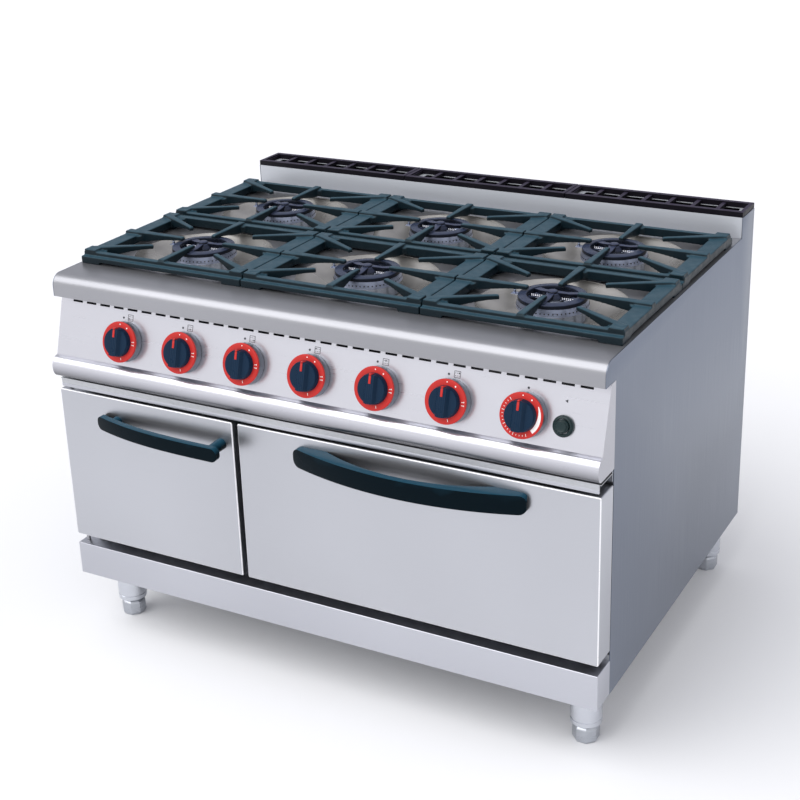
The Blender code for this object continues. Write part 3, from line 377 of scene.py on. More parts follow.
def add_rod(bm, start, end, radius, segments=32, end_radius=None):
    start, end = Vector(start), Vector(end)
    turn = Vector((0, 0, 1)).rotation_difference(end - start).to_matrix().to_4x4()
    bmesh.ops.create_cone(
        bm,
        cap_ends=True,
        segments=segments,
        radius1=radius,
        radius2=radius if end_radius is None else end_radius,
        depth=(end - start).length,
        matrix=Matrix.Translation((start + end) / 2) @ turn,
    )


def add_prism(bm, outline, depth_vector):
    """Extrude a closed flat outline of points by a vector."""
    face = bm.faces.new([bm.verts.new(point) for point in outline])
    grown = bmesh.ops.extrude_face_region(bm, geom=[face])
    moved = [item for item in grown["geom"] if isinstance(item, bmesh.types.BMVert)]
    bmesh.ops.translate(bm, verts=moved, vec=depth_vector)
    bmesh.ops.recalc_face_normals(bm, faces=bm.faces)


def add_turned(bm, profile, segments=64, closed=False, place=None):
    """Turn (radius, height) points about Z. A closed profile is a ring clear of the axis."""
    rings = []
    for radius, height in profile:
        if radius == 0:
            rings.append([bm.verts.new((0, 0, height))])
            continue
        angles = [math.tau * i / segments for i in range(segments)]
        rings.append([bm.verts.new((radius * math.cos(a), radius * math.sin(a), height)) for a in angles])
    pairs = list(zip(rings, rings[1:]))
    if closed:
        pairs.append((rings[-1], rings[0]))
    made = []
    for first, second in pairs:
        for i in range(segments):
            j = (i + 1) % segments
            around = ((first, i), (first, j), (second, j), (second, i))
            corners = [ring[at % len(ring)] for ring, at in around]
            made.append(bm.faces.new(list(dict.fromkeys(corners))))
    bmesh.ops.recalc_face_normals(bm, faces=made)
    if place is not None:
        bmesh.ops.transform(bm, matrix=place, verts=[vert for ring in rings for vert in ring])


def arc(centre, radius, start, end, steps):
    """Points along an arc, its angles in degrees."""
    angles = [math.radians(start + (end - start) * i / steps) for i in range(steps + 1)]
    return [(centre[0] + radius * math.cos(a), centre[1] + radius * math.sin(a)) for a in angles]


def along_x(outline, low, high):
    """A bmesh of an outline in (Y, Z), extruded from x low to x high."""
    bm = bmesh.new()
    add_prism(bm, [(low, y, z) for y, z in outline], Vector((high - low, 0, 0)))
    return bm


# ---- steel casing

NOSE_RADIUS = 0.024
NOSE_LIP = 0.032  # depth of the returned lip under the nose


def nose_outline(inset=0.0, steps=18):
    """The rounded front edge, from the top of its curve down to its lower corner, in (Y, Z)."""
    front, bottom, top = TOP_LOW.y + inset, TOP_LOW.z + inset, WORKTOP_Z - inset
    radius = NOSE_RADIUS - inset
    return arc((front + radius, top - radius), radius, 90, 180, steps) + [(front, bottom)]


def worktop():
    """The pressed top, with a rounded nose and six dished wells whose rims are rolled."""
    thick = 0.002
    back = TOP_HIGH.y
    outer = [(back, WORKTOP_Z), *nose_outline(), (TOP_LOW.y + NOSE_LIP, TOP_LOW.z)]
    inner = [(back, WORKTOP_Z - thick), *nose_outline(thick), (TOP_LOW.y + NOSE_LIP, TOP_LOW.z + thick)]
    plate = along_x(outer + inner[::-1], TOP_LOW.x, TOP_HIGH.x)
    well_radius = 0.1455
    holes = bmesh.new()
    dishes = bmesh.new()
    slope = [(0.052, -0.0299), (0.066, -0.0297), (0.078, -0.0286), (0.092, -0.0258), (0.105, -0.0219)]
    slope += [(0.118, -0.0170), (0.129, -0.0115), (0.137, -0.0066), (0.142, -0.0031), (well_radius, -0.0010)]
    rim = [(well_radius + 0.0025, -0.0003), (well_radius + 0.0025, -0.0018)]
    under = [(radius, height - thick) for radius, height in reversed(slope)]
    for centre in BURNER_AT.values():
        up = Vector((0, 0, CUT))
        add_rod(holes, centre - up, centre + up, well_radius, 72)
        add_turned(dishes, slope + rim + under, 72, closed=True, place=Matrix.Translation(centre))
    tools = [("DIFFERENCE", holes), ("UNION", dishes)]
    mesh = soften(plate, "worktop", tools=tools)

    rim_depth, well_depth = 0.0005, 0.035

    def in_a_well(centre, normal):
        if not WORKTOP_Z - well_depth <= centre.z <= WORKTOP_Z - rim_depth:
            return False
        return any((centre.xy - at.xy).length < well_radius for at in BURNER_AT.values())

    paint(mesh, STEEL_TOP, STEEL_WELL, in_a_well)
    piece("worktop", mesh, STEEL_TOP, replaces=["hob_top"])


BUMPER_HEIGHT = 0.0435
PANEL_FOOT = 0.0455  # height of the crease where the slope starts, above the bumper's underside


def panel_outline(inset=0.0, steps=24):
    """Section of the control panel and its half-oval bumper, in (Y, Z)."""
    bumper_low, bumper_high = PANEL_LOW.z + inset, PANEL_LOW.z + BUMPER_HEIGHT - inset
    centre_y, centre_z = FRONT_Y - 0.0005, (bumper_low + bumper_high) / 2
    reach, rise = centre_y - PANEL_LOW.y - inset, (bumper_high - bumper_low) / 2
    foot = (FRONT_Y + 0.004 + inset, PANEL_LOW.z + PANEL_FOOT - inset / 3)
    head = (FRONT_Y + 0.040 + inset, PANEL_HIGH.z - inset)
    back = CASE_Y + (CUT if inset else 0)
    bumper = [(centre_y + reach * y, centre_z + rise * z) for y, z in arc((0, 0), 1, 90, 270, steps)]
    return [(back, head[1]), head, foot, *bumper, (back, bumper_low)]


def control_panel():
    """The sloping panel with its bumper, spindle holes and a line of vent slots."""
    plate = along_x(panel_outline(), PANEL_LOW.x, PANEL_HIGH.x)
    inside = along_x(panel_outline(SHEET), PANEL_LOW.x + SHEET, PANEL_HIGH.x - SHEET)
    openings = bmesh.new()
    for at in KNOB_AT.values():
        add_rod(openings, at - PANEL_NORMAL * 0.02, at + PANEL_NORMAL * 0.02, 0.0065, 24)
    add_rod(openings, BUTTON_AT - PANEL_NORMAL * 0.02, BUTTON_AT + PANEL_NORMAL * 0.02, 0.0105, 24)
    slots, pitch, slope = 33, 0.0348, 0.0652
    half_slot = Vector((0.0122, 0.0021, 0.012))
    for i in range(slots):
        x = (i - (slots - 1) / 2) * pitch
        at = Matrix.Translation((x, KNOB_AT["knob_oven"].y, KNOB_AT["knob_oven"].z)) @ ON_PANEL
        add_box(openings, Vector((0, slope, 0)) - half_slot, Vector((0, slope, 0)) + half_slot, at)
    tools = [("DIFFERENCE", inside), ("DIFFERENCE", openings)]
    mesh = soften(plate, "panel", tools=tools)
    # The bumper's downward faces get painted shade from steel_panel's under setting.
    piece("panel", mesh, STEEL_PANEL, replaces=["control_panel"])


def side_panels():
    """Two flat sheets with a rounded nose, an upstand end and folded edges."""
    fold = 0.022
    upstand = UPSTAND_LOW.y
    back = BACK_Y - 0.00002  # keeps the rounded edge inside the CAD box
    outline = nose_outline() + [
        (CASE_Y, TOP_LOW.z),
        (CASE_Y, SIDE_LOW.z),
        (back, SIDE_LOW.z),
        (back, SIDE_HIGH.z),
        (upstand, SIDE_HIGH.z),
        (upstand, WORKTOP_Z),
    ]
    for side, sign in (("left", -1), ("right", 1)):
        bm = along_x(outline, *sorted((sign * HALF, sign * (HALF - SHEET))))
        low, high = sign * (HALF - SHEET / 2), sign * (HALF - fold)
        folds = bmesh.new()
        y = CASE_Y + 0.0237
        add_box(folds, (low, y, PLINTH_HIGH.z + 0.016), (high, y + SHEET, OVEN_DOOR_HIGH.z - 0.010))
        y = BACK_Y - 0.0018
        add_box(folds, (low, y, SIDE_LOW.z + 0.002), (high, y + SHEET, WORKTOP_Z - 0.06))
        mesh = soften(bm, f"side_{side}", 0.0005, 2, tools=[("UNION", folds)])
        # The side sheets get a darker, bluer steel than the front: painted shade.
        piece(f"side_sheet_{side}", mesh, STEEL_SIDE_SHADED, replaces=[f"side_panel_{side}"])


def folded_tray(name, low, high, radius=0.0016):
    """A sheet folded into an open-backed tray with rounded corners."""
    bm = bmesh.new()
    add_box(bm, low, high)
    back = [face for face in bm.faces if face.normal.y > 0.9]
    rim = {edge for face in back for edge in face.edges}
    bmesh.ops.delete(bm, geom=back, context="FACES_ONLY")
    edges = [edge for edge in bm.edges if edge not in rim]
    bmesh.ops.bevel(bm, geom=edges, offset=radius, segments=4, affect="EDGES", profile=0.5)
    wall = ("SOLIDIFY", {"thickness": SHEET, "offset": -1.0, "use_even_offset": True})
    return soften(bm, name, steps=[wall])


def plinth():
    """The kick strip across the front."""
    mesh = folded_tray("plinth", PLINTH_LOW, PLINTH_HIGH)
    piece("kick_strip", mesh, STEEL_PLINTH, replaces=["plinth"])


def front_lip():
    """The hem along the cross rail's front edge, just above the doors."""
    end, wrap = HALF - 0.005, 0.0004
    clear, height = 0.0055, 0.0075  # clear leaves room for the oven door's top edge to swing out
    y, bottom = FRONT_Y + 0.003, OVEN_DOOR_HIGH.z + clear
    bm = bmesh.new()
    add_box(bm, (-end, y - wrap, bottom), (end, y + 2 * SHEET + wrap, bottom + height))
    piece("front_lip", soften(bm, "front_lip", 0.0006, 3), STEEL_PLINTH)


def on_highlight_edge(centre, normal):
    """Whether a face belongs to a door's rounded front edges, which get a painted highlight."""
    return centre.y < FRONT_Y + 0.004 and -0.97 < normal.y < -0.10


def door_skins():
    for node, body in (("cabinet_door_outer", "cabinet_door"), ("oven_door_outer", "oven_door")):
        low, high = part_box(node)
        mesh = folded_tray(node, low, high, 0.0026)
        if node == "oven_door_outer":
            mesh = slotted(mesh, low)
        # The rounded front edges get near-white steel, a painted highlight.
        paint(mesh, STEEL_DOOR, STEEL_EDGE_HIGHLIGHT, on_highlight_edge)
        piece(f"{node}_skin", mesh, STEEL_DOOR, body, [node])


def slotted(mesh, low):
    """Cut the two hinge slots into the bottom fold of the oven door."""
    slots = bmesh.new()
    for side in ("left", "right"):
        x = middle(f"oven_hinge_{side}").x
        add_box(slots, (x - 0.005, FRONT_Y + 0.008, low.z - CUT), (x + 0.005, CASE_Y, low.z + 0.024))
    return soften(reopened(mesh), "oven_door_skin", tools=[("DIFFERENCE", slots)])


def upstand():
    """The low flue box at the back, open below, with three flue mouths."""
    bm = bmesh.new()
    add_box(bm, UPSTAND_LOW, UPSTAND_HIGH)
    inside = bmesh.new()
    sheet = Vector((SHEET, SHEET, SHEET))
    add_box(inside, UPSTAND_LOW + Vector((SHEET, SHEET, -CUT)), UPSTAND_HIGH - sheet)
    mouths = bmesh.new()
    rim = 0.015
    for column in COLUMNS:
        x = middle(f"flue_grille_{column}").x
        low = (x - 0.175, UPSTAND_LOW.y + rim, UPSTAND_HIGH.z - CUT)
        add_box(mouths, low, (x + 0.175, UPSTAND_HIGH.y - rim, UPSTAND_HIGH.z + CUT))
    tools = [("DIFFERENCE", inside), ("DIFFERENCE", mouths)]
    mesh = soften(bm, "upstand_box", 0.0006, 2, tools=tools)
    wall = SHEET / 2

    # The flue box's inner faces get the near-black finish, painted shade.
    def inside_the_flue(centre, normal):
        clear = UPSTAND_LOW.y + wall < centre.y < UPSTAND_HIGH.y - wall
        return clear and centre.z < UPSTAND_HIGH.z - wall and abs(centre.x) < HALF - 0.0025

    paint(mesh, STEEL_UPSTAND, FLUE_SHADE, inside_the_flue)
    piece("upstand_box", mesh, STEEL_UPSTAND, replaces=["upstand"])


def end_brackets():
    """The small screwed plates that close the gap under the bumper at both ends."""
    for side, sign in (("left", -1), ("right", 1)):
        x = sign * (HALF - 0.0125)
        y = CASE_Y - 0.0035
        bottom, top = OVEN_DOOR_HIGH.z + 0.006, PANEL_LOW.z - 0.0006
        bm = bmesh.new()
        add_box(bm, (x - 0.011, y, bottom), (x + 0.011, y + 0.002, top))
        add_box(bm, (x + sign * 0.009 - 0.001, y, bottom), (x + sign * 0.009 + 0.001, y + 0.0030, top))
        for height in (0.3, 0.72):
            z = bottom + (top - bottom) * height
            add_rod(bm, (x, y + 0.001, z), (x, y - 0.0022, z), 0.0042, 20, 0.0030)
        mesh = soften(bm, f"end_bracket_{side}", 0.0003, 2)
        piece(f"end_bracket_{side}", mesh, FOOT_METAL)


def legs_and_feet():
    leg_low, leg_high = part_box("leg_front_left")
    foot_low, foot_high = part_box("foot_front_left")
    height = leg_high.z - leg_low.z
    radius = (leg_high.x - leg_low.x) / 2
    bm = bmesh.new()
    lip = [(0.0094, 0.006), (radius - 0.005, 0.006), (radius - 0.004, 0.0), (radius - 0.001, 0.0)]
    groove = radius - 0.0007
    side = [(radius, 0.0012), (radius, 0.010), (groove, 0.0106), (groove, 0.0124), (radius, 0.0130)]
    add_turned(bm, [*lip, *side, (radius, height), (0.0094, height)], closed=True)
    tube = soften(bm, "leg_tube")
    bm = bmesh.new()
    stud, collar, top = 0.008, 0.0225, 0.036
    outline = [(0, foot_high.z), (stud, foot_high.z), (stud, top), (collar, top), (0.0268, top - 0.006)]
    outline += [(0.0268, 0.0060), (0.0235, 0.0), (0, 0)]
    add_turned(bm, outline, 8, place=Matrix.Rotation(math.pi / 8, 4, "Z"))
    foot = soften(bm, "screw_foot", 0.0009, 2, sharp=20)
    for label in CORNERS:
        at = middle(f"leg_{label}")
        leg_place = Matrix.Translation((at.x, at.y, leg_low.z))
        piece(f"leg_tube_{label}", tube, STEEL_LEG, replaces=[f"leg_{label}"], place=leg_place)
        foot_place = Matrix.Translation((at.x, at.y, foot_low.z))
        body = f"foot_{label}"
        piece(f"screw_foot_{label}", foot, FOOT_METAL, body, [f"foot_{label}"], foot_place)


# ---- controls

RING_HEIGHT = 0.0215
RING_RADIUS = 0.0415
GRIP_RADIUS = 0.0298


def knob_meshes():
    """The knob's parts in its own frame: +Z out of the panel, +Y up its slope."""
    made = {}
    bm = bmesh.new()
    skirt = [(0.0060, 0.0008), (RING_RADIUS, 0.0008), (RING_RADIUS, 0.0012), (0.0405, 0.0160)]
    add_turned(bm, [*skirt, (0.0060, 0.0160)], closed=True)
    made["skirt"] = soften(bm, "knob_skirt", 0.0004, 2)
    bm = bmesh.new()
    edge = arc((0.0393, 0.0193), 0.0022, 0, 90, 6)
    ring = [(0.0060, 0.0161), (0.0405, 0.0161), *edge, (GRIP_RADIUS + 0.001, RING_HEIGHT), (0.0060, 0.0205)]
    add_turned(bm, ring, closed=True)
    made["ring"] = soften(bm, "knob_ring", sharp=50)
    bm = bmesh.new()
    add_turned(bm, [(0, 0.0206), (GRIP_RADIUS, 0.0210), (0.0290, 0.0300), (0.0276, 0.0326), (0, 0.0332)])
    half, flutes, groove = 0.0082, 4, 0.0006
    top, reach = 0.0400, 0.0290
    crown = []
    steps = flutes * 8
    for i in range(steps + 1):
        share = i / steps
        dip = groove * (1 - abs(math.cos(share * flutes * math.pi)))
        crown.append((-half + 2 * half * share, top - dip))
    foot, flank = half + 0.0052, half + 0.0050
    outline = [(-foot, 0.0250), (-flank, 0.0322), *crown, (flank, 0.0322), (foot, 0.0250)]
    bar = bmesh.new()
    add_prism(bar, [(x, -reach, z) for x, z in outline], Vector((0, 2 * reach, 0)))
    shoulders = bmesh.new()
    add_rod(shoulders, (0, 0, 0.0210), (0, 0, 0.0400), 0.0296, 64, 0.0275)
    add_rod(shoulders, (0, 0, 0.0399), (0, 0, 0.0600), 0.0275, 64)
    bar_mesh = soften(bar, "bar", tools=[("INTERSECT", shoulders)])
    made["grip"] = soften(bm, "knob_grip", tools=[("UNION", reopened(bar_mesh))], sharp=40)
    bm = bmesh.new()
    add_box(bm, (-0.0023, 0.0105, 0.0385), (0.0023, 0.0272, 0.0405))
    add_box(bm, (-0.0023, 0.0255, 0.0215), (0.0023, 0.0293, 0.0405))
    made["pointer"] = soften(bm, "knob_pointer", 0.0004, 2)
    return made


def on_ring(angle, radius=0.0345):
    """A place on the ring face. Angles are degrees clockwise from the top, and +Y there points outwards."""
    turn = Matrix.Rotation(-math.radians(angle), 4, "Z")
    return turn @ Matrix.Translation((0, radius, RING_HEIGHT - 0.0001))


def add_dot(bm, place, radius, height=0.0003, segments=20):
    add_rod(bm, place @ Vector((0, 0, 0)), place @ Vector((0, 0, height)), radius, segments)


def add_dash(bm, place, width, length):
    add_box(bm, (-width / 2, -length / 2, 0), (width / 2, length / 2, 0.0003), place)


def add_band(bm, start, end, inner, outer, steps=24):
    """A curved band on the ring face that widens from a point, between two angles."""
    near, far = [], []
    for i in range(steps + 1):
        share = i / steps
        angle = math.radians(90 - (start + (end - start) * share))
        width = (outer - inner) * (0.15 + 0.85 * math.sin(math.pi * min(share * 0.75, 0.5)))
        for row, radius in ((near, outer - width), (far, outer)):
            row.append((radius * math.cos(angle), radius * math.sin(angle), RING_HEIGHT - 0.0001))
    add_prism(bm, near + far[::-1], Vector((0, 0, 0.0003)))


def burner_marks():
    bm = bmesh.new()
    add_dot(bm, on_ring(0, 0.0360), 0.0012)
    add_dot(bm, on_ring(30), 0.0015)
    for side in (-1, 1):
        place = on_ring(88 + side * 5.0, 0.0345)
        add_dash(bm, place, 0.0011, 0.0048)
        add_dot(bm, place @ Matrix.Translation((0, 0.0022, 0)), 0.0013)
    add_dash(bm, on_ring(165, 0.0340), 0.0011, 0.0048)
    return soften(bm, "burner_marks")


def oven_marks():
    """Off and pilot dots, a widening band and a round of graduations."""
    bm = bmesh.new()
    add_dot(bm, on_ring(0, 0.0360), 0.0012)
    add_dot(bm, on_ring(30), 0.0015)
    add_band(bm, 56, 138, 0.0305, 0.0375)
    ticks, first, last = 17, 158, 320
    for i in range(ticks):
        major = i % 4 == 0
        angle = first + (last - first) * i / (ticks - 1)
        add_dash(bm, on_ring(angle, 0.0352), 0.0009, 0.0050 if major else 0.0026)
    return soften(bm, "oven_marks")


def knobs():
    meshes = knob_meshes()
    finishes = {"skirt": KNOB_SKIRT, "ring": KNOB_RED, "grip": KNOB_NAVY, "pointer": KNOB_RED}
    marks = {True: oven_marks(), False: burner_marks()}
    for name, at in KNOB_AT.items():
        place = Matrix.Translation(at) @ ON_PANEL
        for part, mesh in meshes.items():
            stands_for = [name] if part == "ring" else []
            piece(f"{name}_{part}", mesh, finishes[part], name, stands_for, place)
        mesh = marks[name == "knob_oven"]
        piece(f"{name}_marks", mesh, MARK_WHITE, name, place=place)


def panel_symbols():
    """Plain printed marks above each knob: a dot, a small hob plan and, over the button, a wedge."""
    height = 0.0002
    bm = bmesh.new()
    spots = {name: Matrix.Translation(at) @ ON_PANEL for name, at in KNOB_AT.items()}
    for number, (name, place) in enumerate(spots.items()):
        up = place @ Matrix.Translation((0, 0.0475, 0))
        left = up @ Matrix.Translation((-0.0085 if name != "knob_oven" else 0, 0, 0))
        add_dot(bm, left, 0.0022, height)
        if name == "knob_oven":
            continue
        plan = up @ Matrix.Translation((0.0085, 0.0015, 0))
        half, line = 0.0060, 0.0009
        for sign in (-1, 1):
            add_box(bm, (-half, sign * half - line / 2, 0), (half, sign * half + line / 2, height), plan)
            add_box(bm, (sign * half - line / 2, -half, 0), (sign * half + line / 2, half, height), plan)
        for i in range(6):
            cell = plan @ Matrix.Translation(((i % 3 - 1) * 0.0036, (i // 3 - 0.5) * 0.0050, 0))
            add_dot(bm, cell, 0.0015 if i == number else 0.0007, height, 12)
    wedge = Matrix.Translation(BUTTON_AT) @ ON_PANEL @ Matrix.Translation((0, 0.0440, 0))
    corners = [(-0.0030, 0.0, 0), (0.0026, -0.0030, 0), (0.0026, 0.0030, 0)]
    raised = wedge.to_3x3() @ Vector((0, 0, height))
    add_prism(bm, [wedge @ Vector(corner) for corner in corners], raised)
    piece("panel_symbols", soften(bm, "panel_symbols"), MARK_BLACK)


def ignition():
    place = Matrix.Translation(BUTTON_AT) @ ON_PANEL
    bm = bmesh.new()
    collar = [(0.0135, 0.0003), (0.0195, 0.0003), (0.0195, 0.0042), (0.0188, 0.0050), (0.0176, 0.0052)]
    collar += [(0.0172, 0.0075), (0.0160, 0.0082), (0.0140, 0.0082), (0.0135, 0.0076)]
    add_turned(bm, collar, 56, closed=True)
    mesh = soften(bm, "button_collar", sharp=40)
    piece("button_collar", mesh, BUTTON_BLACK, replaces=["ignition_bezel"], place=place)
    bm = bmesh.new()
    cap = [(0, -0.0180), (0.0098, -0.0180), (0.0098, 0.0065), (0.0125, 0.0065), (0.0125, 0.0118)]
    cap += [(0.0117, 0.0128), (0.0103, 0.0130), (0.0100, 0.0146), (0.0090, 0.0153), (0.0072, 0.0148)]
    cap += [(0, 0.0146)]
    add_turned(bm, cap, 56)
    mesh = soften(bm, "button_cap", sharp=40)
    piece("button_cap", mesh, BUTTON_BLACK, "ignition_button", ["ignition_button"], place)


# ---- burners


def burner_meshes():
    """The burner's parts about its own centre, with height 0 at the worktop."""
    made = {}
    bm = bmesh.new()
    foot = [(0, -0.0720), (0.0260, -0.0720), (0.0460, -0.0286), (0.0630, -0.0284), (0.0628, -0.0262)]
    cone = [(0.0624, -0.0190), (0.0614, -0.0110), (0.0610, -0.0062), (0.0560, -0.0058)]
    add_turned(bm, [*foot, *cone, (0.0500, 0.0010), (0, 0.0015)])
    add_rod(bm, (0, -0.010, -0.056), (0, -0.125, -0.056), 0.0135, 32)
    made["base"] = soften(bm, "burner_base")
    bm = bmesh.new()
    ring = [(0.0500, -0.0050), (0.0660, -0.0058), (0.0687, -0.0050), (0.0690, -0.0038), (0.0668, 0.0060)]
    ring += [(0.0660, 0.0098), (0.0650, 0.0102), (0.0560, 0.0100), (0.0520, 0.0060)]
    add_turned(bm, ring, closed=True)
    made["ring"] = soften(bm, "burner_ring", sharp=24)
    bm = bmesh.new()
    ports = 54
    for i in range(ports):
        turn = Matrix.Rotation(math.tau * i / ports, 4, "Z")
        add_rod(bm, turn @ Vector((0.0640, 0, 0.0010)), turn @ Vector((0.0684, 0, 0.0016)), 0.0014, 8)
    made["ports"] = soften(bm, "burner_ports")
    bm = bmesh.new()
    crown = [(0.0480, 0.0105), (0.0656, 0.0103), (0.0660, 0.0108), (0.0655, 0.0162), (0.0648, 0.0170)]
    crown += [(0.0560, 0.0182), (0.0500, 0.0185), (0.0490, 0.0178), (0.0482, 0.0150)]
    add_turned(bm, crown, closed=True)
    spokes = [Matrix.Rotation(math.radians(angle), 4, "Z") for angle in (30, 150, 270)]
    for turn in spokes:
        add_box(bm, (0.0490, -0.0090, 0.0112), (0.0600, 0.0090, 0.0188), turn)
    made["crown"] = soften(bm, "burner_crown", 0.0003, 2, sharp=18)
    bm = bmesh.new()
    half_spoke = Vector((0, 0.0068, 0))
    outline = [(0.008, 0.0108), (0.052, 0.0108), (0.052, 0.0176), (0.030, 0.0186), (0.008, 0.0225)]
    for turn in spokes:
        add_prism(bm, [turn @ (Vector((x, 0, z)) - half_spoke) for x, z in outline], turn @ (2 * half_spoke))
    post = [(0, 0.0106), (0.0180, 0.0106), (0.0150, 0.0150), (0.0125, 0.0185), (0.0120, 0.0200)]
    post += [(0.0098, 0.0206), (0.0098, 0.0240), (0.0080, 0.0256), (0.0050, 0.0260), (0, 0.0260)]
    add_turned(bm, post, 32)
    made["hub"] = soften(bm, "burner_hub", 0.0008, 2)
    bm = bmesh.new()
    beads, first, pitch = 7, 0.0185, 0.0042
    bead = [(0, 0.0130), (0.0015, 0.0122), (0.0017, 0.0100), (0, 0.0100)]
    for side in (-1, 1):
        for i in range(beads):
            add_turned(bm, bead, 12, place=Matrix.Translation((side * (first + pitch * i), 0.0020, 0)))
        add_box(bm, (side * 0.016, -0.0022, 0.0070), (side * 0.047, 0.0062, 0.0104))
    made["beads"] = soften(bm, "burner_beads", 0.0004, 2)
    bm = bmesh.new()
    add_box(bm, (-0.0830, -0.0060, 0.0085), (-0.0640, 0.0060, 0.0110))
    add_rod(bm, (-0.0775, 0, 0.0105), (-0.0775, 0, 0.0175), 0.0030, 20, 0.0024)
    made["lug"] = soften(bm, "burner_lug", 0.0006, 2)
    return made


BURNER_LOOKS = {
    "base": (BURNER_METAL, "burner_metal"),
    "ring": (BURNER_RING, "burner_metal"),
    # The ports are black rods in place of holes: painted shade.
    "ports": (PORT_SHADE, "burner_metal"),
    "crown": (CAP_IRON, "burner_cap_iron"),
    "hub": (HUB_IRON, "burner_cap_iron"),
    "beads": (BRIGHT_METAL, "burner_metal"),
    "lug": (BURNER_RING, "burner_metal"),
}


def burners():
    meshes = burner_meshes()
    stands_for = {"base": "burner_body", "crown": "burner_cap"}
    for label, at in BURNER_AT.items():
        for part, mesh in meshes.items():
            finish, slot = BURNER_LOOKS[part]
            nodes = [f"{stands_for[part]}_{label}"] if part in stands_for else []
            piece(f"burner_{part}_{label}", mesh, finish, replaces=nodes, place=Matrix.Translation(at))


# ---- pan supports


def add_web(bm, root, tip, top, root_bottom, tip_bottom, half=0.0046, root_share=1.7):
    """One finger: a thin web, level on top, deep at its root and curving up to a shallow blunt tip."""
    root, tip = Vector((*root, 0)), Vector((*tip, 0))
    length = (tip - root).length
    ahead = (tip - root).normalized()
    across = Vector((-ahead.y, ahead.x, 0))
    steps, level = 10, 0.24
    outline = [(0, top), (0, root_bottom), (level * length, root_bottom)]
    for i in range(1, steps + 1):
        share = i / steps
        rise = math.sin(share * math.pi / 2) ** 1.25
        run = length * (level + (1 - level) * share)
        outline.append((run, root_bottom + (tip_bottom - root_bottom) * rise))
    outline += [(length, top - 0.002), (length - 0.003, top)]
    rows = []
    for side in (-1, 1):
        row = []
        for run, height in outline:
            reach = side * (half * root_share + half * (1 - root_share) * run / length)
            row.append(bm.verts.new(root + ahead * run + across * reach + Vector((0, 0, height))))
        rows.append(row)
    made = [bm.faces.new(rows[0]), bm.faces.new(rows[1][::-1])]
    for i in range(len(outline)):
        j = (i + 1) % len(outline)
        made.append(bm.faces.new([rows[0][i], rows[1][i], rows[1][j], rows[0][j]]))
    bmesh.ops.recalc_face_normals(bm, faces=made)


def add_gusset(bm, corner, along, inward, size, low, high):
    """A triangular fillet between a finger and a rail."""
    corner = Vector((*corner, low))
    points = [corner, corner + Vector((*along, 0)) * size, corner + Vector((*inward, 0)) * size]
    add_prism(bm, points, Vector((0, 0, high - low)))


def grate_mesh():
    low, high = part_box("grate_front_middle")
    half_x, half_y = (high.x - low.x) / 2, (high.y - low.y) / 2
    top = high.z - low.z
    pad, ledge, arch, foot = 0.023, 0.015, 0.005, 0.045
    side, rail, step = 0.034, 0.022, 0.010
    inner_x = half_x - side
    web_root, gusset_root = arch + 0.002, 0.008
    bm = bmesh.new()
    for sign in (-1, 1):
        y_out, y_step, y_in = sign * half_y, sign * (half_y - step), sign * (half_y - rail)
        lap = sign * 0.0002
        add_box(bm, (-half_x, y_out + lap, arch), (half_x, y_step - lap, ledge))
        add_box(bm, (-half_x + 0.003, y_step, arch), (half_x - 0.003, y_in, pad))
        add_box(bm, (sign * half_x, -half_y + step, arch), (sign * inner_x, half_y - step, pad - 0.0010))
        for other in (-1, 1):
            x, y = sign * half_x, other * half_y
            for along, across in ((foot, rail), (side, foot)):
                add_box(bm, (x, y, 0), (x - sign * along, y - other * across, ledge))
            hump = (x - sign * 0.002, y - other * step, 0.010)
            add_box(bm, hump, (x - sign * 0.030, y - other * 0.036, top - 0.0006))
            root = (sign * (half_x - 0.006), other * (half_y - 0.026))
            add_web(bm, root, (sign * 0.078, other * 0.068), top, web_root, 0.0195)
            corner = (sign * (inner_x + 0.001), other * (half_y - rail - 0.001))
            add_gusset(bm, corner, (-sign, 0), (0, -other), 0.020, gusset_root, 0.0200)
        add_web(bm, (sign * (half_x - 0.0005), 0), (sign * 0.050, 0), top, web_root, 0.0200, 0.0055)
        add_web(bm, (0, sign * (half_y - step - 0.002)), (0, sign * 0.036), top, web_root, 0.0200)
        for other in (-1, 1):
            corner = (sign * (inner_x + 0.001), other * 0.0045)
            add_gusset(bm, corner, (-sign, 0), (0, other), 0.015, gusset_root, 0.0205)
            corner = (other * 0.0040, sign * (half_y - rail + 0.001))
            add_gusset(bm, corner, (other, 0), (0, -sign), 0.012, gusset_root, 0.0205)
    voxels = ("REMESH", {"mode": "VOXEL", "voxel_size": 0.0015})
    relax = ("SMOOTH", {"factor": 0.5, "iterations": 3})
    fewer = ("DECIMATE", {"ratio": 0.35})
    return soften(bm, "pan_support", steps=[voxels, relax, fewer], sharp=60)


def pan_supports():
    mesh = grate_mesh()
    for label in LABELS:
        node = f"grate_{label}"
        place = Matrix.Translation((*middle(node).xy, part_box(node)[0].z))
        piece(f"pan_support_{label}", mesh, GRATE_IRON, node, [node], place)


# ---- handles

HANDLE_STAND = FRONT_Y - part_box("oven_handle")[0].y  # how far a handle stands out
HANDLE_THICK = 0.014


def handle_sizes(low, high):
    """A handle's place on the door face, half its length and half its height, from its box."""
    centre = Vector(((low.x + high.x) / 2, FRONT_Y, (low.z + high.z) / 2))
    return centre, (high.x - low.x) / 2, (high.z - low.z) / 2


def bar_from(plan, half_height):
    """A bar whose plan, in (X, Y), runs from half_height below to half_height above."""
    bm = bmesh.new()
    add_prism(bm, [(x, y, -half_height) for x, y in plan], Vector((0, 0, 2 * half_height)))
    return bm


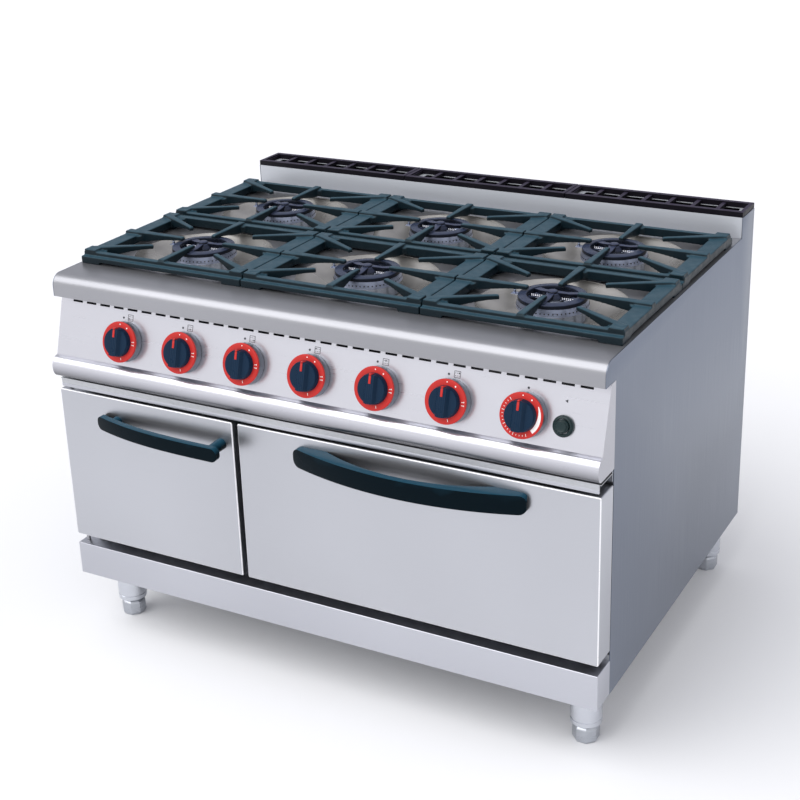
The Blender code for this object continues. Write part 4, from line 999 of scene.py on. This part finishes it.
def rounded_slab(half_length, half_height, radius, steps=10):
    """A tool that rounds a bar's ends as seen from the front."""
    spots = [(1, 1, 0), (-1, 1, 90), (-1, -1, 180), (1, -1, 270)]
    outline = []
    for side, up, start in spots:
        centre = (side * (half_length - radius), up * (half_height - radius))
        outline += arc(centre, radius, start, start + 90, steps)
    bm = bmesh.new()
    add_prism(bm, [(x, 0.02, z) for x, z in outline], Vector((0, -0.1, 0)))
    return bm


def cabinet_handle():
    """A bar that springs from the door at its left end and stands clear of it at its right end."""
    centre, half_length, half_height = handle_sizes(*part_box("cabinet_handle"))
    half_height -= 0.0020  # a little slimmer than its CAD solid
    drop, steps = 0.037, 40
    front = []
    for i in range(steps + 1):
        share = i / steps
        reach = HANDLE_STAND - drop * (1 - share) ** 3
        front.append((half_length * (2 * share - 1), -reach))
    plan = front + [(x, y + HANDLE_THICK) for x, y in reversed(front)]
    ends = rounded_slab(half_length, half_height, 0.0125)
    bar = soften(bar_from(plan, half_height), "bar", 0.0066, 8, tools=[("INTERSECT", ends)])
    posts = bmesh.new()
    for x in (-0.455 - centre.x, -0.198 - centre.x):
        reach = HANDLE_STAND - drop * (0.5 - x / (2 * half_length)) ** 3 - HANDLE_THICK / 2
        add_rod(posts, (x, -0.0003, 0), (x, -reach, 0), 0.0120, 40, 0.0110)
    mesh = soften(reopened(bar), "cabinet_handle", tools=[("UNION", posts)], sharp=40)
    place = Matrix.Translation(centre)
    piece("cabinet_pull", mesh, HANDLE_BLACK, "cabinet_door", ["cabinet_handle"], place)


def oven_handle():
    """A bow whose ends widen into wedge feet on the door."""
    centre, half_length, half_height = handle_sizes(*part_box("oven_handle"))
    gap, steps = 0.0003, 44
    rise = HANDLE_STAND - 0.012
    radius = (half_length**2 + rise**2) / (2 * rise)
    spread = math.degrees(math.asin(half_length / radius))
    front = arc((0, -HANDLE_STAND + radius), radius, 270 - spread, 270 + spread, steps)
    inner_half, inner_rise = 0.176, HANDLE_STAND - HANDLE_THICK - gap
    inner_radius = (inner_half**2 + inner_rise**2) / (2 * inner_rise)
    inner_spread = math.degrees(math.asin(inner_half / inner_radius))
    inner = (0, -gap - inner_rise + inner_radius)
    back = arc(inner, inner_radius, 270 + inner_spread, 270 - inner_spread, steps)
    ends = half_length - 0.004
    bm = bar_from([*front, (ends, -gap), *back, (-ends, -gap)], half_height)
    rounded = rounded_slab(half_length, half_height, 0.0150)
    mesh = soften(bm, "oven_handle", 0.0048, 5, sharp=40, tools=[("INTERSECT", rounded)])
    place = Matrix.Translation(centre)
    piece("oven_pull", mesh, HANDLE_BLACK, "oven_door", ["oven_handle"], place)


# ---- inside pieces and CAD nodes that stay


def oven_shelf():
    """The wire shelf: round rods in a rim."""
    low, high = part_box("oven_shelf")
    radius = (high.z - low.z) / 2
    z = (low.z + high.z) / 2
    bm = bmesh.new()
    corners = [(low.x + radius, low.y + radius), (high.x - radius, low.y + radius)]
    corners += [(high.x - radius, high.y - radius), (low.x + radius, high.y - radius)]
    for first, second in zip(corners, corners[1:] + corners[:1]):
        add_rod(bm, (*first, z), (*second, z), radius, 16)
    wires = 24
    for i in range(1, wires):
        x = low.x + (high.x - low.x) * i / wires
        add_rod(bm, (x, low.y + radius, z + 0.0004), (x, high.y - radius, z + 0.0004), 0.0020, 12)
    for share in (0.33, 0.66):
        y = low.y + (high.y - low.y) * share
        add_rod(bm, (low.x + radius, y, z - 0.0006), (high.x - radius, y, z - 0.0006), 0.0020, 12)
    piece("wire_shelf", soften(bm, "wire_shelf"), SHELF_WIRE, replaces=["oven_shelf"])


KEPT = {
    ZINC: ["back_panel", "chassis", "cabinet_door_inner", "oven_door_inner"],
    HINGE_STEEL: ["oven_hinge_left", "oven_hinge_right", "cabinet_hinge_rod", "oven_burner"],
    OVEN_ENAMEL: ["oven_cavity"],
    SEAL_CORD: ["oven_door_seal"],
    BRASS: ["gas_manifold"],
    FLUE_IRON: [f"flue_grille_{column}" for column in COLUMNS],
}


def kept_nodes():
    """CAD nodes whose shape is right get a finish, and the castings get softened edges."""
    for finish, names in KEPT.items():
        for name in names:
            materials = frame["nodes"][name].data.materials
            materials.clear()
            materials.append(finish)
    for name in KEPT[FLUE_IRON]:
        node = frame["nodes"][name]
        node.modifiers.new("join", "WELD").merge_threshold = 0.00002
        edge = node.modifiers.new("edges", "BEVEL")
        edge.width = 0.0014
        edge.segments = 3
        edge.limit_method = "ANGLE"


# ---- studio


def studio():
    """A plain pale floor, a broad soft sun from the front left and an even surround."""
    bm = bmesh.new()
    bmesh.ops.create_grid(bm, x_segments=1, y_segments=1, size=60)
    floor = object_of("floor", bm)
    pale = Finish("floor_pale", (0.88, 0.88, 0.89), 0.85)
    pale.vary_roughness(pale.noise((3, 3, 3)), 0.05)
    floor.data.materials.append(pale.material)

    sun = bpy.data.lights.new("soft_sun", "SUN")
    sun.energy = 1.7
    sun.angle = math.radians(60)
    lamp = bpy.data.objects.new("soft_sun", sun)
    lamp.rotation_mode = "QUATERNION"
    lamp.rotation_quaternion = Vector((0.55, 0.85, -1.25)).to_track_quat("-Z", "Y")
    bpy.context.scene.collection.objects.link(lamp)

    world = bpy.data.worlds.new("studio")
    bpy.context.scene.world = world
    world.use_nodes = True
    nodes, links = world.node_tree.nodes, world.node_tree.links
    background = nodes["Background"]
    background.inputs["Strength"].default_value = 1.05
    direction = nodes.new("ShaderNodeTexCoord").outputs["Generated"]
    split = nodes.new("ShaderNodeSeparateXYZ")
    links.new(direction, split.inputs["Vector"])
    depth = remapped(world.node_tree, split.outputs["Y"], 0, 1, -0.7, 0.7)
    tone = nodes.new("ShaderNodeMix")
    tone.data_type = "RGBA"
    tone.inputs["A"].default_value = (1.0, 1.0, 1.02, 1)
    tone.inputs["B"].default_value = (0.50, 0.51, 0.56, 1)
    links.new(depth, tone.inputs["Factor"])
    links.new(tone.outputs["Result"], background.inputs["Color"])
    bpy.context.scene.view_settings.view_transform = "Standard"


def camera():
    """The viewpoint: to the right of the front and above the worktop, looking down at the range."""
    yaw, pitch, roll = math.radians(29.145), math.radians(21.231), math.radians(-1.880)
    ahead = Vector((-math.sin(yaw) * math.cos(pitch), math.cos(yaw) * math.cos(pitch), -math.sin(pitch)))
    level = Vector((math.cos(yaw), math.sin(yaw), 0))
    lift = level.cross(ahead)
    right = math.cos(roll) * level + math.sin(roll) * lift
    up = -math.sin(roll) * level + math.cos(roll) * lift
    data = bpy.data.cameras.new("camera")
    data.lens = 68.2
    data.sensor_width = 36
    data.shift_y = -0.0625
    data.clip_end = 200
    made = bpy.data.objects.new("camera", data)
    turn = Matrix((right, up, -ahead)).transposed().to_4x4()
    made.matrix_world = Matrix.Translation((1.4433, -2.6141, 1.7614)) @ turn
    bpy.context.scene.collection.objects.link(made)
    bpy.context.scene.camera = made


# ---- build

camera()
studio()
worktop()
control_panel()
side_panels()
plinth()
front_lip()
door_skins()
upstand()
end_brackets()
legs_and_feet()
knobs()
panel_symbols()
ignition()
burners()
pan_supports()
cabinet_handle()
oven_handle()
oven_shelf()
kept_nodes()
